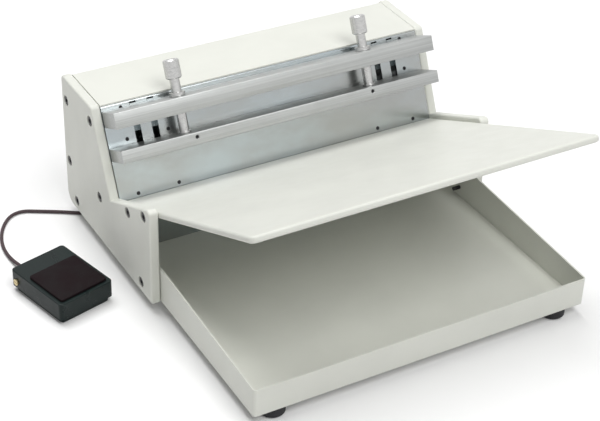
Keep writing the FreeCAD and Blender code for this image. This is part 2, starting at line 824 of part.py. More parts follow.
keep(group("panel_screw_set", screw_set), "panel_screws")


# Work table, tray and feet
def work_table():
    """Makes the tilted table, rounded all round, with screw holes in its side edges."""
    body = new_body("work_table", face)
    sketch = new_sketch(body, "XZ_Plane", table_drop)
    rectangle(sketch, (-sheet_half, fit_gap), (sheet_half, table_reach))
    pad(body, sketch, table_thickness)
    round_edges(body, table_corner_round, lambda edge: parallel(edge, "y") and near(edge, "z", table_reach))
    for level in (table_drop, table_drop + table_thickness):
        round_edges(body, table_edge_round, lambda edge: near(edge, "y", -level))
    holes = new_sketch(body, "YZ_Plane", half_inner)
    deep = new_sketch(body, "YZ_Plane", -half_inner)
    for step in (0, 1):
        centre = (-table_middle, table_screw_first + step * table_screw_pitch)
        circle(holes, centre, screw_radius + running_gap)
        circle(deep, centre, screw_radius + running_gap)
    pocket(body, holes, (screw_hold + fit_gap) * 2, both_ways=True)
    pocket(body, deep, (screw_hold + fit_gap) * 2, both_ways=True)
    return keep(body, "work_table")


def tray():
    """Makes the bent tray: a floor, two side walls that fall to the front, and a front wall."""
    body = new_body("tray", floor)
    half = half_inner - tray_gap
    back = panel_foot_y - fit_gap
    outer = new_sketch(body, "YZ_Plane")
    polygon(outer, [
        (back, foot_height),
        (back, foot_height + tray_back_rise),
        (-tray_front, foot_height + tray_front_rise),
        (-tray_front, foot_height),
    ])
    pad(body, outer, half * 2, both_ways=True)
    for sign in SIDES.values():
        round_edges(body, tray_corner_round, lambda edge: parallel(edge, "z")
                    and near(edge, "x", sign * half) and near(edge, "y", -tray_front))
    inner = new_sketch(body, "YZ_Plane")
    clear = tray_back_rise * 2
    polygon(inner, [
        (back + tray_wall, foot_height + tray_wall),
        (back + tray_wall, foot_height + clear),
        (-tray_front + tray_wall, foot_height + clear),
        (-tray_front + tray_wall, foot_height + tray_wall),
    ])
    pocket(body, inner, (half - tray_wall) * 2, both_ways=True)
    bolts = new_sketch(body, "YZ_Plane")
    circle(bolts, side_screws["tray"], screw_radius + running_gap)
    pocket(body, bolts, inner_width, both_ways=True)
    return keep(body, "tray")


work_table()
tray()


def foot(name, x, y):
    """Makes one round rubber foot with a hollowed underside."""
    stand = Frame((machine_x + x, machine_y + y, 0), Vector(0, 0, 1), 0)
    rim = foot_radius / 8
    return turned(name, stand, [
        (0, foot_height),
        (foot_radius, foot_height),
        (foot_radius, rim),
        (foot_radius - rim, 0),
        (foot_radius / 2, 0),
        (foot_radius / 2, rim * 2),
        (0, rim * 2),
    ])


feet = []
for side_name, sign in SIDES.items():
    foot_x = sign * (half_inner - foot_inset)
    feet.append(foot(f"{side_name}_front_foot", foot_x, -tray_front + foot_setback))
    feet.append(foot(f"{side_name}_rear_foot", foot_x, -rear_foot_setback))
keep(group("foot_set", feet), "feet")

# Jaws and what carries them
bar_half = half_inner - jaw_end_gap
bar_front = jaw_gap + jaw_depth
upper_blank = box("upper_bar_blank", face, (-bar_half, -upper_jaw_drop - upper_jaw_height, jaw_gap),
                  (bar_half, -upper_jaw_drop, bar_front))
lower_low = lower_jaw_drop + lower_jaw_height
lower_blank = box("lower_bar_blank", face, (-bar_half, -lower_low, 0),
                  (bar_half, -lower_jaw_drop, jaw_depth))
backing_blank = box("backing_blank", face, (-backing_half_length, -lower_low, -sheet_metal - backing_thickness),
                    (backing_half_length, -lower_jaw_drop, -sheet_metal))
upper_holes, lower_holes, backing_holes, jaw_screws = [], [], [], []
for side_name, sign in SIDES.items():
    rod_x = sign * rod_offset
    upper_holes.append(rod(f"{side_name}_rod_hole", face,
                           (rod_x, -upper_jaw_drop - upper_jaw_height, rod_standoff), "y",
                           upper_jaw_height, rod_radius + rod_hole_gap))
    upper_holes.append(rod(f"{side_name}_stop_pin_hole", face,
                           (rod_x - sign * stop_pin_offset, -upper_jaw_drop - upper_jaw_height, rod_standoff),
                           "y", upper_jaw_height, stop_pin_radius + rod_hole_gap))
    lower_holes.append(rod(f"{side_name}_journal_hole", face,
                           (rod_x, -lower_jaw_drop - rod_journal_depth - fit_gap, rod_standoff), "y",
                           rod_journal_depth + fit_gap, rod_journal_radius + running_gap))
    screw_x = sign * lower_screw_offset
    screw_down = lower_jaw_drop + lower_screw_drop
    lower_holes.append(face_hole(f"{side_name}_jaw_screw_hole", screw_x, screw_down,
                                 lower_screw_radius + running_gap, 0, jaw_depth))
    backing_holes.append(face_hole(f"{side_name}_backing_hole", screw_x, screw_down,
                                   lower_screw_radius + running_gap, -sheet_metal - backing_thickness,
                                   -sheet_metal))
    jaw_screws.append(face_hole(f"{side_name}_jaw_screw", screw_x, screw_down, lower_screw_radius,
                                -sheet_metal - backing_thickness, jaw_depth - lower_screw_recess))
keep(cut("upper_bar", upper_blank, upper_holes), "upper_jaw_bar")
keep(cut("lower_bar", lower_blank, lower_holes), "lower_jaw_bar")
keep(cut("backing_bar", backing_blank, backing_holes), "jaw_backing_bar")
keep(group("jaw_screw_set", jaw_screws), "lower_jaw_screws")

lugs = []
carriage_front = guide_back - fit_gap
for side_name, sign in SIDES.items():
    for index, shift in enumerate(slot_places):
        middle = sign * guide_offset + shift
        reach = slot_width / 2 - lug_side_gap
        lugs.append(box(f"{side_name}_lug_{index}", face,
                        (middle - reach, -lug_drop - lug_height, carriage_front),
                        (middle + reach, -lug_drop, jaw_gap)))
keep(group("lug_set", lugs), "jaw_lugs")

carriage_back = carriage_front - carriage_thickness
follower_drop = shaft_drop - cam_lift_radius
cam_face = cam_offset + cam_thickness / 2
arm_near = cam_face + fit_gap * 2
arm_back = -shaft_behind - arm_overhang
carriage_parts = [box("carriage_plate", face,
                      (-carriage_half_length, -carriage_drop - carriage_height, carriage_back),
                      (carriage_half_length, -carriage_drop, carriage_front))]
pin_holes, followers = [], []
for side_name, sign in SIDES.items():
    low_x = arm_near if sign > 0 else -arm_near - arm_thickness
    carriage_parts.append(box(f"{side_name}_arm", face,
                              (low_x, -follower_drop - arm_half_height, arm_back),
                              (low_x + arm_thickness, -follower_drop + arm_half_height, carriage_back)))
    centre = (-follower_drop, -shaft_behind)
    pin_holes.append(bar_x(f"{side_name}_pin_hole", face, side_name, arm_near, arm_near + arm_thickness,
                           centre, follower_radius + running_gap))
    followers.append(bar_x(f"{side_name}_follower", face, side_name, cam_face - groove_depth + fit_gap,
                           arm_near + arm_thickness, centre, follower_radius))
keep(cut("carriage", fuse("carriage_blank", carriage_parts), pin_holes), "jaw_carriage")
keep(group("follower_set", followers), "cam_followers")


# Adjusters: a turning rod with a knob, and a stop nut that climbs its thread
def adjuster(side):
    """Makes one rod, its knob and its stop nut, standing off the slanted face."""
    sign = SIDES[side]
    axis = Frame(face.point((sign * rod_offset, 0, rod_standoff)), Vector(1, 0, 0), -slant)
    top = knob_rise + knob_height
    socket = knob_rise + knob_height / 2
    seat = -lower_jaw_drop + jaw_gap
    keep(turned(f"{side}_rod", axis, [
        (0, socket),
        (rod_radius, socket),
        (rod_radius, seat + rod_collar_height),
        (rod_collar_radius, seat + rod_collar_height),
        (rod_collar_radius, seat),
        (rod_journal_radius, seat),
        (rod_journal_radius, -lower_jaw_drop - rod_journal_depth),
        (0, -lower_jaw_drop - rod_journal_depth),
    ]), f"{side}_adjuster_rod")
    keep(turned(f"{side}_knob_turning", axis, [
        (rod_radius + running_gap, knob_rise),
        (knob_radius, knob_rise),
        (knob_radius, top - knob_chamfer),
        (knob_radius - knob_chamfer, top),
        (0, top),
        (0, socket + running_gap),
        (rod_radius + running_gap, socket + running_gap),
    ]), f"{side}_knob")
    stop_seat = -upper_jaw_drop + jaw_gap
    ring = turned(f"{side}_stop_ring", axis, [
        (rod_radius + running_gap, stop_seat),
        (stop_radius, stop_seat),
        (stop_radius, stop_seat + stop_height),
        (rod_radius + running_gap, stop_seat + stop_height),
    ])
    peg = rod(f"{side}_stop_peg", axis, (-sign * stop_pin_offset, 0, stop_seat - stop_pin_length), "z",
              stop_pin_length + stop_height / 2, stop_pin_radius)
    keep(fuse(f"{side}_stop", [ring, peg]), f"{side}_stop_nut")


for side_name in SIDES:
    adjuster(side_name)


# Drive: scroll cams on a cross shaft, turned by a gear motor
def scroll_groove(side):
    """Makes the groove of one cam, whose radius falls evenly with the turn."""
    sign = SIDES[side]
    sweep = math.radians(float(cam_sweep))
    spare = math.radians(float(cam_overrun))
    rate = float(jaw_travel) / sweep
    half = float(follower_radius + groove_gap)
    steps = 24
    angles = [-sweep - spare + (sweep + 2 * spare) * step / steps for step in range(steps + 1)]

    def edge_point(angle, shift):
        radius = float(cam_lift_radius) + rate * angle + shift
        return Vector(0, radius * math.cos(angle), radius * math.sin(angle))

    def wall(shift):
        curve = Part.BSplineCurve()
        curve.interpolate([edge_point(angle, shift) for angle in angles])
        return curve.toShape()

    def cap(angle, side_sign):
        along = Vector(0, -math.sin(angle), math.cos(angle)) * half * side_sign
        tip = edge_point(angle, 0) + along
        return Part.Arc(edge_point(angle, -half), tip, edge_point(angle, half)).toShape()

    edges = [wall(-half), wall(half), cap(angles[0], -1), cap(angles[-1], 1)]
    outline = Part.Face(Part.Wire(Part.__sortEdges__(edges)))
    solid = outline.extrude(Vector(float(groove_depth), 0, 0))
    item = doc.addObject("Part::Feature", f"{side}_groove")
    item.Shape = solid
    start = cam_face - groove_depth if sign > 0 else -cam_face
    return place(item, face, (start, -shaft_drop, -shaft_behind))


shaft_centre = (-shaft_drop, -shaft_behind)
shaft_y, shaft_z = face_yz(shaft_drop, -shaft_behind)
for side_name, sign in SIDES.items():
    disc = bar_x(f"{side_name}_disc", face, side_name, cam_offset - cam_thickness / 2, cam_face,
                 shaft_centre, cam_radius)
    bore = bar_x(f"{side_name}_cam_bore", face, side_name, cam_offset - cam_thickness / 2, cam_face,
                 shaft_centre, shaft_radius + running_gap)
    keep(cut(f"{side_name}_scroll", disc, [bore, scroll_groove(side_name)]), f"{side_name}_cam")
coupling_middle = coupling_start + coupling_length / 2
shaft_start = cam_face + stand_thickness / 2
keep(rod("shaft", floor, (-shaft_start, shaft_y, shaft_z), "x", shaft_start + coupling_middle - fit_gap,
         shaft_radius), "cam_shaft")
keep(rod("output", floor, (coupling_middle + fit_gap, shaft_y, shaft_z), "x",
         gearbox_start + gearbox_width / 2 - coupling_middle - fit_gap, output_radius), "gearbox_shaft")
sleeve = rod("coupling_sleeve", floor, (coupling_start, shaft_y, shaft_z), "x", coupling_length,
             coupling_radius)
bores = [rod("coupling_bore", floor, (coupling_start, shaft_y, shaft_z), "x", coupling_length / 2,
             shaft_radius + running_gap),
         rod("coupling_small_bore", floor, (coupling_middle, shaft_y, shaft_z), "x", coupling_length / 2,
             output_radius + running_gap)]
keep(cut("coupling", sleeve, bores), "shaft_coupling")

bearings = []
for side_name, sign in SIDES.items():
    near_x = stand_offset - stand_thickness / 2
    far_x = stand_offset + stand_thickness / 2
    low_x = near_x if sign > 0 else -far_x
    centre = (shaft_y, shaft_z)
    post = box(f"{side_name}_post", floor, (low_x, shaft_y - stand_radius, base_top),
               (low_x + stand_thickness, shaft_y + stand_radius, shaft_z))
    head = bar_x(f"{side_name}_post_head", floor, side_name, near_x, far_x, centre, stand_radius)
    sole = box(f"{side_name}_post_foot", floor, (low_x, shaft_y - stand_foot, base_top),
               (low_x + stand_thickness, shaft_y + stand_foot, base_top + stand_foot_height))
    seat = bar_x(f"{side_name}_post_bore", floor, side_name, near_x, far_x, centre, bearing_radius)
    keep(cut(f"{side_name}_stand", fuse(f"{side_name}_stand_blank", [post, head, sole]), [seat]),
         f"{side_name}_bearing_stand")
    ring = bar_x(f"{side_name}_bearing_ring", floor, side_name, near_x, far_x, centre,
                 bearing_radius - running_gap)
    bore = bar_x(f"{side_name}_bearing_bore", floor, side_name, near_x, far_x, centre,
                 shaft_radius + running_gap)
    bearings.append(cut(f"{side_name}_bearing", ring, [bore]))
keep(group("bearing_set", bearings), "bearings")

gearbox_end = gearbox_start + gearbox_width
motor_z = shaft_z + motor_rise
gear_case = box("gear_case", floor, (gearbox_start, -gearbox_front, shaft_z - gearbox_below),
                (gearbox_end, -gearbox_back, motor_z + gearbox_above))
gear_bore = rod("gear_bore", floor, (gearbox_start, shaft_y, shaft_z), "x",
                gearbox_width / 2 + fit_gap, output_radius + running_gap)
keep(cut("gear_case_bored", gear_case, [gear_bore]), "gearbox")
motor_start = gearbox_start - motor_length
keep(fuse("motor_can", [
    rod("motor_body", floor, (motor_start, -motor_setback, motor_z), "x", motor_length, motor_radius),
    rod("motor_boss", floor, (motor_start - motor_boss_length, -motor_setback, motor_z), "x",
        motor_boss_length, motor_boss_radius),
]), "motor")
keep(fuse("bracket", [
    box("bracket_wall", floor, (gearbox_end, -gearbox_front, base_top),
        (gearbox_end + bracket_thickness, -gearbox_back, motor_z + gearbox_above)),
    box("bracket_foot_plate", floor, (gearbox_end - bracket_foot, -gearbox_front, base_top),
        (gearbox_end, -gearbox_back, base_top + bracket_thickness)),
]), "motor_bracket")


# Electrics on the base and the rear wall
board_z = base_top + standoff_height
board_top = board_z + board_thickness
standoffs = []
for x in (board_left + standoff_inset, board_right - standoff_inset):
    for y in (-board_front + standoff_inset, -board_back - standoff_inset):
        standoffs.append(rod(f"standoff_{len(standoffs)}", floor, (x, y, base_top), "z", standoff_height,
                             standoff_radius))
keep(group("standoff_set", standoffs), "board_standoffs")
relay_x = board_right - standoff_inset * 2 - relay_length
keep(fuse("board_with_relay", [
    box("board", floor, (board_left, -board_front, board_z), (board_right, -board_back, board_top)),
    box("relay", floor, (relay_x, -board_back - standoff_inset * 2 - relay_width, board_top),
        (relay_x + relay_length, -board_back - standoff_inset * 2, board_top + relay_height)),
]), "control_board")
trafo_x = board_left + standoff_inset * 2
trafo_y = -board_front + standoff_inset * 2
keep(box("trafo", floor, (trafo_x, trafo_y, board_top),
         (trafo_x + transformer_length, trafo_y + transformer_width, board_top + transformer_height)),
     "transformer")

rim_y = inlet_rim_thickness - cover_setback
inlet_shell = fuse("inlet_shell", [
    centred_box("inlet_case", inlet_offset, inlet_height, inlet_width, inlet_rise,
                -cover_setback - inlet_body, -cover_setback),
    centred_box("inlet_flange", inlet_offset, inlet_height, inlet_width + inlet_rim * 2,
                inlet_rise + inlet_rim, -cover_setback, rim_y),
])
mouth = centred_box("inlet_mouth", inlet_offset, inlet_height, inlet_width - inlet_wall * 2,
                    inlet_rise - inlet_wall * 2, rim_y - inlet_mouth_depth, rim_y)
inlet_pins = [centred_box(f"inlet_pin_{step + 1}", inlet_offset + step * inlet_pin_pitch,
                          inlet_height - abs(step) * inlet_wall, inlet_pin_width, inlet_pin_rise,
                          rim_y - inlet_mouth_depth - inlet_wall, rim_y - inlet_wall * 2)
              for step in (-1, 0, 1)]
keep(fuse("inlet", [cut("inlet_open", inlet_shell, [mouth]), *inlet_pins]), "power_inlet")

pivot_y = -cover_setback - rocker_pivot
switch_shell = fuse("switch_shell", [
    centred_box("switch_case", switch_offset, inlet_height, switch_width, switch_rise,
                -cover_setback - switch_body, -cover_setback),
    centred_box("switch_flange", switch_offset, inlet_height, switch_width + switch_rim * 2,
                switch_rise + switch_rim * 2, -cover_setback, switch_rim - cover_setback),
])
switch_cuts = [
    centred_box("switch_cavity", switch_offset, inlet_height, switch_width - switch_wall * 2,
                switch_rise - switch_wall * 2, -cover_setback - switch_body + switch_wall,
                switch_rim - cover_setback),
    rod("trunnion_hole", floor, (switch_offset - switch_width / 2, pivot_y, inlet_height), "x",
        switch_width, trunnion_radius + running_gap),
]
keep(cut("switch_housing", switch_shell, switch_cuts), "switch_frame")
rocker_frame = Frame(floor.point((switch_offset, pivot_y, inlet_height)), Vector(1, 0, 0), switch_angle)
rocker_half = switch_width / 2 - switch_wall - fit_gap
trunnion_half = switch_width / 2 - fit_gap
keep(fuse("rocker", [
    box("rocker_block", rocker_frame, (-rocker_half, -rocker_depth, -rocker_half_rise),
        (rocker_half, rocker_stand, rocker_half_rise)),
    rod("trunnion", rocker_frame, (-trunnion_half, 0, 0), "x", trunnion_half * 2, trunnion_radius),
]), "switch_rocker")

gland_y = -cover_setback
neck_radius = gland_radius - fit_gap - running_gap
keep(fuse("rear_gland", [
    rod("gland_cone", floor, (-gland_offset, gland_y, gland_height), "y", gland_length, gland_radius,
        gland_tip_radius),
    rod("gland_neck", floor, (-gland_offset, -rear_inside, gland_height), "y", sheet_metal, neck_radius),
    rod("gland_nut", floor, (-gland_offset, -rear_inside - gland_radius, gland_height), "y",
        gland_radius, gland_radius + gland_nut_lip),
]), "cord_gland")

# Foot pedal
pedal_half_width = pedal_width / 2
pedal_half_length = pedal_length / 2
base_half_width = pedal_half_width - pedal_wall - pedal_side_gap
base_half_length = pedal_half_length - pedal_wall - pedal_side_gap
pivot_place = (pedal_half_length - pedal_pivot_inset, pedal_pivot_height)


def pedal_shell(name, half_width, half_length, bottom, top, opens_up):
    """Makes a rounded tub, open at the top or at the bottom, with holes for the pivot pin."""
    body = new_body(name, pedal)
    outline = new_sketch(body, "XY_Plane", bottom)
    rectangle(outline, (-half_width, -half_length), (half_width, half_length))
    pad(body, outline, top - bottom)
    round_edges(body, pedal_edge_round * 2, lambda edge: parallel(edge, "z"))
    closed = bottom if opens_up else top
    round_edges(body, pedal_edge_round / 2, lambda edge: near(edge, "z", closed))
    inner = new_sketch(body, "XY_Plane", top if opens_up else bottom)
    rectangle(inner, (pedal_wall - half_width, pedal_wall - half_length),
              (half_width - pedal_wall, half_length - pedal_wall))
    pocket(body, inner, top - bottom - pedal_wall, along_normal=not opens_up)
    pivot = new_sketch(body, "YZ_Plane")
    circle(pivot, pivot_place, pedal_pin_radius + running_gap)
    pocket(body, pivot, half_width * 2, both_ways=True)
    return body


tub = pedal_shell("pedal_tub", base_half_width, base_half_length, as_size(0), pedal_base_height, True)
gland_start = (-pedal_gland_side, base_half_length - pedal_wall, pedal_gland_height)
gland_hole = rod("pedal_gland_hole", pedal, gland_start, "y", pedal_wall, gland_tip_radius + running_gap)
keep(cut("pedal_tub_drilled", tub, [gland_hole]), "pedal_base")
lid = pedal_shell("pedal_lid", pedal_half_width, pedal_half_length, pedal_skirt, pedal_height, False)
notch_half = pedal_gland_radius + notch_gap
gland_notch = box("gland_notch", pedal,
                  (-pedal_gland_side - notch_half, base_half_length + pedal_side_gap, pedal_skirt),
                  (-pedal_gland_side + notch_half, pedal_half_length, pedal_gland_height + notch_half))
keep(cut("pedal_lid_notched", lid, [gland_notch]), "pedal_treadle")
keep(fuse("pedal_strain_relief", [
    rod("pedal_gland_neck", pedal, gland_start, "y", pedal_wall, gland_tip_radius),
    rod("pedal_gland_cone", pedal, (-pedal_gland_side, base_half_length, pedal_gland_height), "y",
        pedal_gland_length, pedal_gland_radius, gland_tip_radius),
]), "pedal_gland")

head_start = pedal_half_width + fit_gap
pin_parts = [rod("pivot_shaft", pedal, (-head_start, *pivot_place), "x", head_start * 2, pedal_pin_radius)]
pin_slots = []
for side_name in SIDES:
    pin_parts.append(bar_x(f"{side_name}_pivot_head", pedal, side_name, head_start,
                           head_start + pedal_pin_head_height, pivot_place, pedal_pin_head))
    slot_low = head_start + pedal_pin_head_height / 2 if side_name == "right" \
        else -head_start - pedal_pin_head_height
    pin_slots.append(box(f"{side_name}_pivot_slot", pedal,
                         (slot_low, pivot_place[0] - pedal_pin_head, pedal_pivot_height - fit_gap),
                         (slot_low + pedal_pin_head_height / 2, pivot_place[0] + pedal_pin_head,
                          pedal_pivot_height + fit_gap)))
keep(cut("pivot_pin", fuse("pivot_blank", pin_parts), pin_slots), "pedal_pivot_pin")

pad_front = pad_setback - pedal_half_length
pad_top = pedal_height + pad_thickness
pad_body = new_body("pad_sheet", pedal)
pad_outline = new_sketch(pad_body, "XY_Plane", pedal_height)
rectangle(pad_outline, (-pad_width / 2, pad_front), (pad_width / 2, pad_front + pad_length))
pad(pad_body, pad_outline, pad_thickness)
round_edges(pad_body, pad_corner_round, lambda edge: parallel(edge, "z"))
round_edges(pad_body, pad_edge_round, lambda edge: near(edge, "z", pad_top))
keep(pad_body, "pedal_pad")
bumper_y = bumper_inset - pedal_half_length
keep(rod("bumper", pedal, (0, bumper_y, pedal_wall), "z",
         pedal_height - pedal_wall * 2 - bumper_gap, bumper_radius), "pedal_bumper")
micro_top = pedal_wall + micro_height
keep(fuse("microswitch", [
    box("micro_case", pedal, (-micro_width / 2, micro_setback, pedal_wall),
        (micro_width / 2, micro_setback + micro_length, micro_top)),
    rod("micro_plunger", pedal, (0, micro_setback + micro_length / 2, micro_top), "z", plunger_height,
        plunger_radius),
]), "pedal_microswitch")


# Cord: two loose stretches and the tied coil between them
coil_floor = tie_wall + cord_clear + cord_radius
coil_centre = floor.point((-coil_side, coil_behind, coil_floor))


def coil_point(turn):
    """Returns the place of the coiled cord after a number of clockwise turns."""
    inward, climb = float(coil_turns), 0.5
    rise = min(max((turn - inward) / climb, 0), 1)
    laps = max(inward - turn, turn - inward - climb, 0)
    radius = float(coil_inner) + float(coil_pitch) * laps
    angle = math.pi - 2 * math.pi * turn
    spread = Vector(radius * math.cos(angle), radius * math.sin(angle), float(coil_pitch) * rise)
    return Vector(*[float(value) for value in coil_centre]) + spread


def coil_heading(turn):
    """Returns the direction of the coiled cord after a number of turns."""
    step = 0.001
    return (coil_point(turn + step) - coil_point(turn - step)).normalize()


def biarc(start, start_way, end, end_way):
    """Returns two arcs that join two places and keep the direction at each."""
    gap = end - start
    both = start_way + end_way
    spread = 2 * (1 - start_way.dot(end_way))
    reach = (math.sqrt(gap.dot(both) ** 2 + spread * gap.dot(gap)) - gap.dot(both)) / spread
    first, second = start + start_way * reach, end - end_way * reach
    middle = (first + second) * 0.5
    return [arc(start, first, middle), arc(middle, second, end)]


def arc(start, corner, end):
    """Returns the arc that touches two equal legs of a corner at their ends."""
    weight = (corner - start).normalize().dot((end - start).normalize())
    top = (start + corner * (2 * weight) + end) * (1 / (2 + 2 * weight))
    return Part.Arc(start, top, end).toShape()


def loose_path(points):
    """Joins straight runs by arcs as large as the runs allow and returns edges and radii."""
    edges, radii = [], []
    last = points[0]
    for before, here, after in zip(points, points[1:], points[2:]):
        back, ahead = before - here, after - here
        reach = 0.45 * min(back.Length, ahead.Length)
        half_turn = (math.pi - back.getAngle(ahead)) / 2
        radii.append(round(reach / math.tan(half_turn), 1))
        enter, leave = here + back.normalize() * reach, here + ahead.normalize() * reach
        edges.append(Part.LineSegment(last, enter).toShape())
        edges.append(arc(enter, here, leave))
        last = leave
    edges.append(Part.LineSegment(last, points[-1]).toShape())
    return edges, radii


def tube(label, edges):
    """Sweeps the round cord along a path and compares its volume with section times length."""
    path = Part.Wire(edges)
    start, way = path.Edges[0].valueAt(path.Edges[0].FirstParameter), path.Edges[0].tangentAt(
        path.Edges[0].FirstParameter)
    radius = float(cord_radius)
    section = Part.Wire([Part.Circle(start, way, radius).toShape()])
    item = doc.addObject("Part::Feature", label)
    item.Shape = path.makePipeShell([section], True, False)
    ratio = item.Shape.Volume / (math.pi * radius ** 2 * path.Length)
    print(label, "length", round(path.Length, 1), "volume ratio", round(ratio, 4))
    return keep(item, label)


def least_self_gap(edges):
    """Measures how near the coil's turns come to each other, between cord surfaces."""
    samples = [point for edge in edges for point in edge.discretize(9)[:-1]]
    lap = 2 * math.pi * float(coil_inner)
    run = [0.0]
    for before, here in zip(samples, samples[1:]):
        run.append(run[-1] + before.distanceToPoint(here))
    nearest = min(a.distanceToPoint(b) for i, a in enumerate(samples) for j, b in enumerate(samples)
                  if run[j] - run[i] > lap / 2)
    return nearest - 2 * float(cord_radius)


def on_machine(points):
    """Turns places about the machine's rear edge into places of the part."""
    return [Vector(*[float(value) for value in floor.point(point)]) for point in points]


coil_length_turns = coil_turns + 0.5 + coil_turns - 0.25
last_turn = float(coil_length_turns)
quarters = [step / 4 for step in range(int(last_turn * 4) + 1)]
coil_edges = []
for turn, after in zip(quarters, quarters[1:]):
    coil_edges += biarc(coil_point(turn), coil_heading(turn), coil_point(after), coil_heading(after))

PEDAL_ROUTE = [
    (-277.3, -66.0, 3.2),
    (-278.0, -51.0, 1.9),
    (-276.5, -35.0, 1.8),
    (-271.0, -17.0, 1.8),
    (-261.0, 0.0, 1.8),
    (-249.5, 11.5, 1.8),
    (-236.0, 13.5, 1.8),
    (-223.5, 6.5, 1.8),
    (-210.0, -1.0, 1.8),
    (-197.0, -8.5, 1.8),
    (-184.0, -17.5, 1.8),
    (-170.0, -23.0, 1.8),
    (-156.0, -22.5, 1.8),
    (-143.5, -16.5, 1.8),
    (-133.5, -6.0, 1.8),
    (-127.0, 8.0, 1.8),
    (-123.8, 23.5, 2.2),
]
GLAND_ROUTE = [
    (-63.0, 85.5, 5.5),
    (-50.0, 79.0, 2.2),
    (-40.5, 69.0, 1.8),
    (-36.0, 57.0, 4.5),
    (-34.3, 47.0, 14.0),
    (-34.0, 40.0, 26.0),
]
pedal_exit = Vector(*[float(value) for value in pedal.point(
    (-pedal_gland_side, base_half_length + pedal_gland_length, pedal_gland_height))])
pedal_way = pedal.rotation.multVec(Vector(0, 1, 0))
coil_start, coil_end = coil_point(0), coil_point(last_turn)
lead_in = float(coil_lead)
pedal_points = [pedal_exit, pedal_exit + pedal_way * lead_in, *on_machine(PEDAL_ROUTE),
                coil_start - coil_heading(0) * lead_in, coil_start]
gland_tip = on_machine([(-gland_offset, gland_length - cover_setback, gland_height)])[0]
gland_points = [coil_end, coil_end + coil_heading(last_turn) * lead_in, *on_machine(GLAND_ROUTE),
                gland_tip + Vector(0, lead_in * 0.8, 0), gland_tip]
for label, points in (("pedal_cord", pedal_points), ("gland_cord", gland_points)):
    loose_edges, loose_radii = loose_path(points)
    print(label, "radii", loose_radii)
    tube(label, loose_edges)
tube("cord_coil", coil_edges)
print("cord_coil least self gap", round(least_self_gap(coil_edges), 3))

tie_near = coil_inner - cord_radius - cord_clear - tie_width * tie_width / (coil_inner - cord_radius) / 8
tie_far = coil_inner + (coil_turns - 0.5) * coil_pitch + cord_radius + cord_clear
tie_top = coil_floor + coil_pitch + cord_radius + cord_clear
tie_band = box("tie_band", floor, (tie_near - tie_wall - coil_side, coil_behind - tie_width / 2, 0),
               (tie_far + tie_wall - coil_side, coil_behind + tie_width / 2, tie_top + tie_wall))
tie_hole = box("tie_hole", floor, (tie_near - coil_side, coil_behind - tie_width / 2, tie_wall),
               (tie_far - coil_side, coil_behind + tie_width / 2, tie_top))
keep(cut("tie", tie_band, [tie_hole]), "cord_tie")

# Checks and export
doc.recompute()
for item in doc.Objects:
    if any(state != "Up-to-date" for state in item.State):
        raise ValueError(f"{item.Name} is {item.State}")
os.makedirs("parts", exist_ok=True)
for item in sub_parts:
    if item.Shape.isNull() or not item.Shape.isValid() or not item.Shape.Solids:
        raise ValueError(f"{item.Label} has no valid solid")
    item.Shape.exportStep(f"parts/{item.Label}.step")
print(len(sub_parts), "pieces written")
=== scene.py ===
"""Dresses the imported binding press: finishes, fasteners, knobs, cord, light and camera."""
import json
import logging
import math
from dataclasses import dataclass
from enum import Enum
from typing import Callable, Iterable, Optional

import bmesh
import bpy
from mathutils import Matrix, Vector


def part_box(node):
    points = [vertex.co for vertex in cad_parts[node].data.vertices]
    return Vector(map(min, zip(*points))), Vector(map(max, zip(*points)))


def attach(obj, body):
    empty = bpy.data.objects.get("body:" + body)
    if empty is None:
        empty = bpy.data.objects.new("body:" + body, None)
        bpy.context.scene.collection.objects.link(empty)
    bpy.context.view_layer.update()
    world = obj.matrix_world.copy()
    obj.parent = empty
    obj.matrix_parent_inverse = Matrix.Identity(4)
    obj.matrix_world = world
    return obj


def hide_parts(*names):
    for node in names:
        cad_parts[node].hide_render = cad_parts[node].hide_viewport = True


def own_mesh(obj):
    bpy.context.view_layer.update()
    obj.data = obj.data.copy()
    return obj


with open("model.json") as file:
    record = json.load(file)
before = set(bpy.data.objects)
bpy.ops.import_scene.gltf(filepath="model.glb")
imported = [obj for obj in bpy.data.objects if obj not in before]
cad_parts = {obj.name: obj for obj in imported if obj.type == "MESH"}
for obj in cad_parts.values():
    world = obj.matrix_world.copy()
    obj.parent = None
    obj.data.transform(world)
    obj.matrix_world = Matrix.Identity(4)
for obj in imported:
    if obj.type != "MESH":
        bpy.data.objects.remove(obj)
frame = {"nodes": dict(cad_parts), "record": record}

log = logging.getLogger("binding_press")

MM = 0.001
SLANT = math.radians(25.0)
UP_SLOPE = Vector((0.0, math.sin(SLANT), math.cos(SLANT)))
OUT_OF_FACE = Vector((0.0, -math.cos(SLANT), math.sin(SLANT)))
UPRIGHT = Vector((0.0, 0.0, 1.0))
TURNED_SMOOTH = math.radians(35.0)
SAME_PLACE = 1e-6
WHITE = (1.0, 1.0, 1.0, 1.0)


class Side(Enum):
    """The machine's two sides, with their sign along X."""

    LEFT = -1
    RIGHT = 1

    @property
    def word(self) -> str:
        """Returns the side's name as the CAD nodes spell it."""
        return self.name.lower()


class Stroke(Enum):
    """The way in which a metal was brushed, as noise stretch along X, Y and Z."""

    ALONG_X = (6.0, 900.0, 900.0)
    ROUND = (260.0, 260.0, 1500.0)


def shade(colour: tuple, share: float) -> tuple:
    """Returns a colour made lighter or darker by a share."""
    return tuple(min(channel * share, 1.0) for channel in colour)


